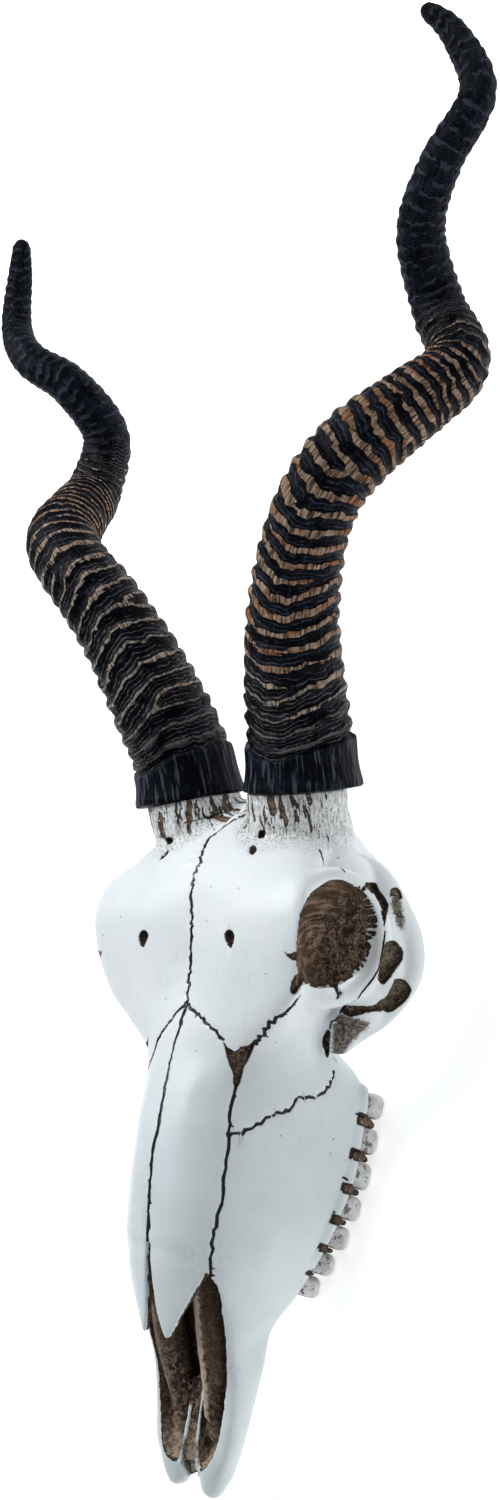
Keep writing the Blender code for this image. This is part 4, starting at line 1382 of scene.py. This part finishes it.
# %% Stained bone
def stained_bone(desk, p):
    """Browns with rays and arcs round the eye, curls and pits in the nose, and on its near side painted
    shade and a painted highlight along the scroll's crest.
    """
    near_eye, fine, edge = p.near_eye, p.fine, p.edge
    hair = desk.grain(p.place, (0.9, 0.25, 0.9), 4, 0.7, bend=1.5)
    rays = desk.grain(p.round_eye, 1.0, 2, 0.6, bend=0.8)
    round_low, _ = desk.round_place(p.out + 9.0, p.up + 16.0, 2.2, 0.42)
    arcs = desk.grain(round_low, 1.0, 3, 0.6, bend=0.5)
    outer = near_eye * p.from_eye.ramp(9.0, 17.0)
    inwards = p.up * 0.6 - p.out
    warm = (inwards + (edge - 0.5) * 30.0).ramp(-4.0, 26.0) * near_eye
    upper = (inwards + (edge - 0.5) * 20.0).ramp(-4.0, 10.0) * near_eye
    lower = 1 - upper
    pits = p.x.size().ramp(66.0, 70.0) * p.d.ramp(-55.0, -58.0)
    # The nose's near side, on the left, gets painted light: painted shade over its brown and a painted
    # highlight along its scroll's crest
    near_side = p.x.ramp(-4.0, 2.0) * 0.8 + 0.2
    # The painted highlight: a wide light-brown band along the crest and a narrow pale line in it
    crest = (p.pale + (fine - 0.5) * 2.0).ramp(-3.0, -1.0) * p.holes.ramp(0.58, 0.5)
    crest_highlight = (p.pale + (fine - 0.5) * 2.2 + (edge - 0.5) * 2.4).ramp(-0.7, 0.1)
    gold = (p.v * -1.0 + (edge - 0.5) * 26.0).ramp(244.0, 262.0)
    grainy = fine.ramp(0.4, 0.6)
    return desk.coats(
        desk.blend(fine.ramp(0.42, 0.58), (0.045, 0.025, 0.016), (0.21, 0.135, 0.09)),
        (p.swirl.ramp(0.6, 0.9) * near_eye * 0.4, (0.33, 0.23, 0.175)),
        (warm * 0.45, (0.25, 0.15, 0.115)),
        (rays.ramp(0.54, 0.60) * outer * 0.75, (0.022, 0.012, 0.008)),
        (rays.ramp(0.45, 0.39) * outer * 0.6, (0.34, 0.235, 0.165)),
        (hair.ramp(0.53, 0.58) * 0.9, (0.016, 0.010, 0.007)),
        (arcs.ramp(0.52, 0.56) * upper * 0.9, (0.020, 0.011, 0.008)),
        (arcs.ramp(0.47, 0.43) * upper * 0.8, (0.40, 0.28, 0.21)),
        ((p.curls - 0.44).size().ramp(0.05, 0.02) * lower * 0.7, (0.38, 0.27, 0.18)),
        ((p.curls - 0.52).size().ramp(0.06, 0.025) * lower * 0.9, (0.012, 0.008, 0.006)),
        (p.holes.ramp(0.58, 0.64) * lower * 0.85, (0.014, 0.009, 0.006)),
        (pits * 0.75, desk.blend(grainy, (0.075, 0.055, 0.032), (0.25, 0.205, 0.14))),
        (p.cloud.ramp(0.45, 0.6) * 0.45, (0.135, 0.085, 0.042)),
        # Painted shade over the nose's brown, mostly on its near side
        (p.v.ramp(-150.0, -170.0) * near_side * 0.5, (0.030, 0.018, 0.012)),
        # Painted highlight along the near scroll's crest
        (crest * near_side * 0.4, (0.27, 0.185, 0.12)),
        (crest_highlight * near_side * 0.85, (0.60, 0.49, 0.37)),
        (gold * 0.8, desk.blend(grainy, (0.20, 0.13, 0.08), (0.50, 0.42, 0.33))),
    )


print("stained bone: worn pale towards the tips of the nose")

# %% Bone material
BONE_RELIEF = 0.0005


def bone_finish():
    desk = Desk("bleached_bone")
    p = BonePatterns(desk)
    near_eye, fine = p.near_eye, p.fine
    white, dots = white_bone(desk, p)
    spikes = desk.grain(p.round_eye, (1.3, 1.3, 0.3), 2, 0.5)
    bites = spikes.ramp(0.46, 0.66) * near_eye * (p.out * 0.8 - p.up * 0.6).ramp(-14.0, 4.0) * 2.8
    ragged = p.stain - bites + (p.edge - 0.5) * (near_eye * 1.4 + 0.7) + (fine - 0.5) * 1.2
    stained = ragged.ramp(-0.15, 0.15)
    outline = ragged.ramp(-0.3, 0.0) * ragged.ramp(1.4, 0.7)
    crack = (p.seam + (fine - 0.5) * 0.35).ramp(-0.32, -0.08)
    colour = desk.coats(
        white,
        (ragged.ramp(-0.9, -0.3) * 0.22, (0.40, 0.37, 0.34)),
        (stained, stained_bone(desk, p)),
        (outline * 0.9, (0.02, 0.013, 0.010)),
        (crack, (0.014, 0.010, 0.009)),
    )
    roughness = 0.30 + stained * 0.45 + fine * 0.12 + p.rough * 0.15
    height = fine * (0.2 + stained * 1.0 + p.rough * 0.8) + p.curls * stained * 3.0
    height = height + p.fibre * 0.15 - dots * 0.6 + stained * near_eye * p.swirl * 0.7
    relief = desk.bump(height, BONE_RELIEF, 0.5)
    return desk.finish(colour, roughness, relief, Specular_IOR_Level=0.3)


skull.data.materials.clear()
skull.data.materials.append(bone_finish())
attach(skull, "root")
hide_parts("skull")
plugs = [o for o in bpy.data.objects if o.name.split(".")[0] == "plug"]
for tool in (carving, white_inside, crests, inner, tooth_sockets, ground, *plugs):
    bpy.data.objects.remove(tool)
print("bone finished")

# %% [markdown]
# ## The horns
#
# A horn sheath grows in rings, each a ridge with worn tan fibres on its crest and a blue
# black valley before the next. The rings dip at a keel that runs round the horn, and
# here and there one ring forks. All that is a pattern on the sheath's unrolled surface,
# so the sheath is one sheet of close rings whose radius and marks follow the pattern.

# %% The pattern of rings
RING_SPACING = 0.85
RING_SIDES = 110
# Places along the horn and the pitch of its rings there, in mm
PITCH = (
    (0, 9.8), (50, 10.5), (150, 10.5), (185, 9.4), (215, 7.8), (262, 6.2), (300, 7.0), (500, 6.6),
)
RIDGE_HEIGHT = 2.7
COLLAR_RADIUS = 33.0
COLLAR_TOP_RADIUS = 31.0
# Height in mm of each wave in the rings, its scale across and along, and its seed's shift
RING_WAVES = ((2.4, 1.6, 0.045, 0), (1.6, 4.5, 0.06, 20), (0.7, 9.0, 0.11, 30))
# How far along the horn the turn from a point to its fork dies away, in mm
FORK_REACH = 22.0
# Places along the horn, the keel's angle there in degrees and how far the rings dip at it
KEEL = ((0, -84, 7), (35, -78, 7), (75, -70, 6.5), (130, -68, 5), (180, -68, 3), (262, -50, 1.5),
        (330, -20, 3), (500, 20, 2))


def fork(place, angle, at, centre):
    """The turn round a point of the unrolled sheath where one ring becomes two."""
    turn = np.exp((place - at) / FORK_REACH + 1j * (angle - centre))
    return np.angle(1 - turn) / (2 * math.pi)


def soft_noise(place, angle, across, along, seed):
    """Smooth noise on the unrolled sheath, with no step where the angle wraps."""
    ring = np.stack([np.cos(angle) * across, np.sin(angle) * across, place * along], -1)
    flat = ring.reshape(-1, 3)
    made = np.array([noise.noise(Vector(p) + Vector((seed, 0, 0))) for p in flat])
    return made.reshape(place.shape)


def ring_pattern(place, angle, seed, forks):
    """The number of rings up to each point, and its place with the rings' waves taken out."""
    keel, dip = np.moveaxis(looked_up(KEEL, place), -1, 0)
    off = angle_between(angle, np.radians(keel))
    wave = -dip * np.exp(-((off / 0.62) ** 2)) + 0.45 * dip * np.exp(-(((off - 1.4) / 0.6) ** 2))
    wave += 0.3 * dip * np.exp(-(((off + 1.15) / 0.5) ** 2))
    for high, across, along, shift in RING_WAVES:
        wave += high * soft_noise(place, angle, across, along, seed + shift)
    unrolled = place - wave * eased(place, 4, 24)
    steps = np.arange(-10.0, HORN_LENGTH + 20, 1.0)
    counts = np.cumsum(1 / looked_up(PITCH, steps)[:, 0])
    rings = np.interp(unrolled, steps, counts) - np.interp(COLLAR_LENGTH + 3, steps, counts)
    for at, centre, sign in forks:
        rings = rings + sign * fork(place, angle, at, centre)
    return rings, unrolled


print("rings on a horn:", round(float((1 / looked_up(PITCH, np.arange(HORN_LENGTH))).sum())))

# %% Radius and marks of a sheath
# Where the ridges grow lower, in mm along the horn
SECOND_BEND = (262, 300)
# The share of a ring's pitch at which its ridge stands highest
LIP_PHASE = 0.62
TIP_LENGTH = 6
# Scale across and along, and seed's shift, of six noises: where a sheath is uneven, its knobs,
# its fine grain, the collar's fibres, the collar's ragged edge and the wrinkles between rings
SHEATH_NOISES = (
    (2.2, 0.11, 40), (5.0, 0.3, 60), (12.0, 0.55, 80), (16.0, 0.02, 100), (7.0, 0.0, 120),
    (2.6, 0.9, 140),
)


def sheath_skin(seed, forks, wider):
    """Rings of points of the left sheath, and the marks that its finish reads."""
    rows = int(HORN_LENGTH / RING_SPACING)
    outer = np.linspace(0, HORN_LENGTH, rows)
    angles = np.linspace(0, 2 * math.pi, RING_SIDES, endpoint=False)
    place, angle = np.meshgrid(outer, angles, indexing="ij")
    rings, unrolled = ring_pattern(place, angle, seed, forks)
    phase = rings - np.floor(rings)
    lip = np.where(phase < LIP_PHASE, phase / LIP_PHASE, (1 - phase) / (1 - LIP_PHASE))
    profile = eased(lip, 0.0, 0.9)
    second = 0.5 + 0.5 * np.cos(2 * math.pi * (phase - 0.08))
    uneven, knobs, fine, striae, ragged, wrinkles = (
        soft_noise(place, angle, across, along, seed + shift) for across, along, shift in SHEATH_NOISES
    )
    collar = eased(unrolled, COLLAR_LENGTH + 4.5, COLLAR_LENGTH + 1.5)
    share = place / HORN_LENGTH
    height = RIDGE_HEIGHT * (1 - 0.55 * share) * (0.85 + 0.6 * uneven)
    height *= 1 - 0.35 * eased(place, *SECOND_BEND)
    ridge = height * (profile - 0.55) + 0.35 * knobs + 0.22 * fine + 0.5 * wrinkles * (1 - profile)
    ridge = ridge + 0.25 * second * (1 - profile)
    radius = np.interp(place, horn_reach, horn_dense[:, 3]) + wider * eased(place, 20, 60)
    flare = COLLAR_TOP_RADIUS + (COLLAR_RADIUS - COLLAR_TOP_RADIUS) * eased(place, 20, 0) - radius
    proud = collar * (flare + 0.5 * striae) + (1 - collar) * (ridge - 0.6 * eased(share, 0.9, 1.0))
    radius = np.maximum(radius + proud, 0.6)
    past = place - (HORN_LENGTH - TIP_LENGTH)
    tip = np.sqrt(np.clip(1 - (past / 6.2).clip(0, 1) ** 2, 0, 1))
    radius = radius * np.where(past > 0, np.maximum(tip, 0.08), 1)
    lengths = place + (3.4 + 0.9 * ragged) * eased(place, 11, 0)
    crest = profile + 0.3 * wrinkles + 0.25 * uneven
    count = np.stack([np.cos(2 * math.pi * rings), np.sin(2 * math.pi * rings), 0 * rings], -1)
    return place, angle, radius, lengths, crest * (1 - collar), collar, count


frame_steps = np.linspace(0, HORN_LENGTH, 400)
horn_frames = np.array(across_frames([Vector(horn_at(s)[:3]) for s in frame_steps]))


def point_on_horn(place, angle, radius):
    """Points of the left horn from places along it, angles round it and radii."""
    near = np.clip(place, 0, HORN_LENGTH)
    across, up = (followed(near, frame_steps, horn_frames[:, i]) for i in (0, 1))
    way = np.cross(across, up)
    centre = followed(near, horn_reach, horn_dense[:, :3]) + way * (place - near)[..., None]
    out = across * np.cos(angle)[..., None] + up * np.sin(angle)[..., None]
    return centre + out * radius[..., None]


print("frames along a horn:", len(horn_frames))

# %% Make a sheath
# The socket inside, from its blind end to the collar's lip: heights over the mouth and radii
SOCKET_LINE = (
    (SOCKET_DEPTH, 0.5), (SOCKET_DEPTH, SOCKET_END_RADIUS * 0.9),
    (SOCKET_DEPTH - 2, SOCKET_END_RADIUS + 0.4), (12, 23), (3.4, SOCKET_MOUTH_RADIUS), (2.6, 26.5),
    (2.7, 30.5),
)


def sheath(name, side, seed, forks, tan, wider):
    """One sheath with its socket, the marks for its finish, and how tan its crests are."""
    place, angle, radius, lengths, crest, collar, count = sheath_skin(seed, forks, wider)
    outside = point_on_horn(lengths, angle, radius)
    inside_rows = []
    for height, inner_radius in SOCKET_LINE:
        flat = np.full_like(angle[:1], height)
        inside_rows.append(point_on_horn(flat, angle[:1], np.full_like(flat, inner_radius)))
    points = np.concatenate([*inside_rows, outside])
    points[..., 0] *= side
    rows = len(inside_rows)

    def padded(values, fill):
        return np.concatenate([np.full((rows, RING_SIDES), float(fill)), values])

    along = padded(place, 0)
    turn = np.concatenate([np.repeat(angle[:1], rows, 0), angle])
    unrolled = np.stack([np.cos(turn), np.sin(turn), along], -1)
    marks = {"unrolled": unrolled, "crest": padded(crest, 0), "collar": padded(collar, 1),
             "tan": looked_up(tan, along)[..., 0],
             "count": np.concatenate([np.repeat(count[:1], rows, 0), count])}
    piece = closed_sheet(name, points, marks)
    piece.data.transform(TO_REST)
    select_only(piece)
    bpy.ops.object.shade_smooth()
    print(name, "has", len(piece.data.polygons), "faces")
    return piece


# Where a ring forks: place along the horn in mm, angle, and whether one is gained or lost
LEFT_FORKS = (
    (66, -1.0, 1), (92, -2.4, -1), (128, -0.5, 1), (150, -2.0, -1), (186, -0.9, 1), (214, -0.2, -1),
)
RIGHT_FORKS = (
    (60, -2.4, 1), (84, -0.6, -1), (118, -3.0, 1), (160, -1.8, -1), (190, -2.6, 1), (230, 2.4, -1),
)
# Places along each horn and how tan the ridges are there
LEFT_TAN = ((0, 0), (44, 0.0), (52, 0.3), (75, 0.6), (95, 0.95), (235, 0.95), (262, 0.85), (282, 0.55),
            (300, 0.12), (325, 0.0), (500, 0.0))
RIGHT_TAN = ((0, 0), (50, 0.0), (60, 0.25), (120, 0.45), (170, 0.56), (205, 0.72), (245, 0.7),
             (275, 0.4), (300, 0.08), (325, 0.0), (500, 0.0))
horns = {
    "horn_left": sheath("left_horn_sheath", 1, 3.0, LEFT_FORKS, LEFT_TAN, 0.0),
    "horn_right": sheath("right_horn_sheath", -1, 17.0, RIGHT_FORKS, RIGHT_TAN, 1.1),
}

# %% Horn material
HORN_RELIEF = 0.0009


def horn_finish():
    desk = Desk("ridged_horn")
    around = desk.mark("unrolled", "Vector")
    crest, collar, tan = desk.mark("crest"), desk.mark("collar"), desk.mark("tan")
    along_horn = desk.parts(around)[2]
    bare, high_up, half_tan = 1 - collar, along_horn.ramp(230.0, 300.0), tan.ramp(0.75, 0.4)
    hatch = desk.grain(around, (17.0, 17.0, 0.12), 3, 0.6)
    coarse_hatch = desk.grain(around, (8.0, 8.0, 0.07), 3, 0.6)
    thin = desk.grain(around, (34.0, 34.0, 0.16), 2, 0.5)
    patch = desk.grain(around, (1.5, 1.5, 0.09))
    grit = desk.grain(around, (14.0, 14.0, 0.55), 4, 0.7)
    wave = desk.grain(around, (3.0, 3.0, 0.5), 4, 0.7)
    strand = desk.grain(around, (15.0, 15.0, 0.03), 4, 0.65)

    across, along, _ = desk.parts(desk.mark("count", "Vector"))
    phase = along.maths("ARCTAN2", across) / (2 * math.pi)
    # Fine folds, four to each ring, that are only painted: in each a light line of painted sheen and a dark
    # line of painted shade
    folds = (phase * 4.0 + (wave - 0.5) * 1.6 + 8.0).maths("PINGPONG", 0.5)
    fold_sheen = folds.ramp(0.38, 0.46) * patch.ramp(0.40, 0.52)
    fold_sheen_tone = desk.coats(
        desk.blend(half_tan, (0.060, 0.070, 0.090), (0.17, 0.155, 0.14)),
        (tan.ramp(0.12, 0.0) * high_up, (0.022, 0.028, 0.045)),
    )
    black = desk.coats(
        desk.blend(patch.ramp(0.4, 0.65), (0.0010, 0.0014, 0.0035), (0.004, 0.006, 0.013)),
        (coarse_hatch.ramp(0.55, 0.68) * 0.5, (0.026, 0.034, 0.052)),
        # Painted sheen on the folds, then painted shade in them
        (fold_sheen * bare * 0.7, fold_sheen_tone),
        (folds.ramp(0.10, 0.03) * bare * 0.8, (0.001, 0.001, 0.002)),
    )

    fibres = hatch.ramp(0.35, 0.7)
    straw = desk.blend(fibres, (0.12, 0.075, 0.048), (0.46, 0.33, 0.235))
    rust = desk.blend(hatch.ramp(0.3, 0.7), (0.11, 0.048, 0.022), (0.34, 0.165, 0.085))
    worn = desk.coats(
        desk.blend(patch.ramp(0.50, 0.62), straw, rust),
        (half_tan * 0.7, desk.blend(fibres, (0.16, 0.13, 0.105), (0.56, 0.47, 0.40))),
        (hatch.ramp(0.45, 0.40).most(thin.ramp(0.43, 0.38) * 0.85) * 0.7, (0.02, 0.016, 0.016)),
    )
    spread = crest + (grit - 0.5) * 0.32 + (hatch - 0.5) * 0.14 + (tan - 1.0) * 0.46
    band = spread.ramp(0.73, 0.78) * tan.ramp(0.03, 0.2)
    # Dark edging round each tan band: partly painted shadow under the ridge, partly the horn's own dark
    # lines
    outline = spread.ramp(0.38, 0.50) * tan.ramp(0.1, 0.4)
    from_lip = phase + (1 - LIP_PHASE) + (grit - 0.5) * 0.10 + (wave - 0.5) * 0.08
    lip = from_lip.size().ramp(0.085, 0.04)
    lip = lip * patch.ramp(0.34, 0.5) * bare * along_horn.ramp(310.0, 250.0) * tan.ramp(0.9, 0.6)
    lip = lip * (along_horn.ramp(42.0, 72.0) * 0.7 + 0.3)
    lip_tone = desk.blend(hatch.ramp(0.35, 0.65), (0.12, 0.10, 0.085), (0.44, 0.38, 0.33))
    # Painted highlight on the crests of the dark, untanned ridges, grey low on the horn and bluer high up
    pale = (crest + (grit - 0.5) * 0.4).ramp(0.92, 1.02) * tan.ramp(0.15, 0.0) * bare
    colour = desk.coats(
        black,
        (outline, (0.002, 0.002, 0.003)),
        (lip * 0.8, lip_tone),
        (band, worn),
        # Painted highlight on the dark crests
        (pale * 0.45, desk.blend(high_up, (0.14, 0.135, 0.14), (0.060, 0.070, 0.095))),
        # Light blue-grey lines along the collar's fibres: painted sheen on its striations
        (collar * strand.ramp(0.56, 0.60) * 0.75, (0.072, 0.082, 0.105)),
        (collar * strand.ramp(0.48, 0.42) * 0.9, (0.001, 0.0015, 0.003)),
    )
    roughness = 0.42 + band * 0.2 + (grit - 0.5) * 0.2
    height = hatch * (0.5 + band * 0.8) + grit * 0.5 + collar * strand * 1.8
    relief = desk.bump(height, HORN_RELIEF, 0.8)
    return desk.finish(colour, roughness, relief, Specular_IOR_Level=0.045)


horn_material = horn_finish()
for node, piece in horns.items():
    piece.data.materials.append(horn_material)
    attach(piece, "root")
    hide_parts(node)
print("horns finished")

# %% [markdown]
# ## The cheek teeth
#
# A kudu's cheek tooth is a squat block of enamel with two lobes on its outer side, worn
# flat below and stained at the neck. One ring sheet per tooth follows the same rounded
# outline as its socket and narrows to the chewing face.

# %% Make the teeth
NECK_GAP = 0.1
# Share of the crown's height over the floor, then shares of length and width, and the lean
CROWN_RINGS = ((0.75, 0.98, 0.98, 0.2), (0.5, 0.97, 0.93, 0.5))
# The chewing edge: height over the floor in mm, then shares of length and width, and the lean
WORN_RINGS = ((1.4, 0.88, 0.82, 0.8), (0.4, 0.78, 0.72, 0.9), (0.0, 0.66, 0.62, 0.9))

teeth = []
for side, word in ((1, "left"), (-1, "right")):
    for number, (spot, full) in enumerate(zip(TOOTH_ROW, TOOTH_LENGTHS), 1):
        neck = crown_height(spot)
        swell = 1 + 0.03 * chance.uniform(-1, 1)
        rows = [(neck + TOOTH_ROOT - NECK_GAP, 3.0, 3.0, ROOT_RINGS[0][3])]
        rows += [
            (neck + share * TOOTH_ROOT - NECK_GAP * (share == 1), 0.98 * long * full,
             0.97 * wide * TOOTH_WIDTH, lean)
            for share, long, wide, lean in ROOT_RINGS
        ]
        rows += [
            (share * neck, long * swell * full, wide * TOOTH_WIDTH, lean)
            for share, long, wide, lean in CROWN_RINGS
        ]
        rows += [
            (height, long * full, wide * TOOTH_WIDTH, lean)
            for height, long, wide, lean in WORN_RINGS
        ]
        rows.append((0.0, 2.0, 2.0, WORN_RINGS[-1][3]))
        rings = tooth_form(spot, rows, side)
        ends = np.tile(np.abs(np.sin(turns(TOOTH_SIDES))), (len(rings), 1))
        piece = closed_sheet(f"tooth_{word}_{number}", rings, {"end": ends})
        worked(piece, "SUBSURF", levels=1, render_levels=1)
        piece.data.transform(TO_REST)
        teeth.append((piece, f"cheek_tooth_{word}_{number}"))
print("teeth:", len(teeth))

# %% Enamel material
ENAMEL_RELIEF = 0.0006


def enamel_finish():
    desk = Desk("stained_enamel")
    place = desk.skull_place()
    level = desk.parts(desk.node("ShaderNodeTexCoord", out="Object"))[2] * 1000.0
    cloud = desk.grain(place, 0.13, 4)
    fine = desk.grain(place, 0.8, 4, 0.65)
    blot = desk.grain(place, 0.21, 3, 0.6)
    stain = (blot + (fine - 0.5) * 0.25 + (level - 12.0) * 0.012).ramp(0.54, 0.58)
    ends = (desk.mark("end") + (fine - 0.5) * 0.12).ramp(0.84, 0.93)
    root = (level + (cloud - 0.5) * 5.0).ramp(16.0, 19.0)
    worn = (level + (fine - 0.5) * 2.0).ramp(2.0, 0.8)
    colour = desk.coats(
        desk.blend(cloud.ramp(0.4, 0.65), (0.76, 0.77, 0.75), (0.52, 0.52, 0.49)),
        (stain * 0.9, desk.blend(fine.ramp(0.4, 0.6), (0.06, 0.05, 0.04), (0.17, 0.13, 0.10))),
        (root * 0.8, (0.10, 0.07, 0.055)),
        (worn.most(ends) * 0.85, (0.07, 0.052, 0.04)),
    )
    return desk.finish(colour, 0.22 + fine * 0.25, desk.bump(fine + cloud, ENAMEL_RELIEF, 0.7))


enamel_material = enamel_finish()
for piece, node in teeth:
    select_only(piece)
    bpy.ops.object.shade_smooth()
    piece.data.materials.append(enamel_material)
    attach(piece, "root")
    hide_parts(node)
print("teeth finished")
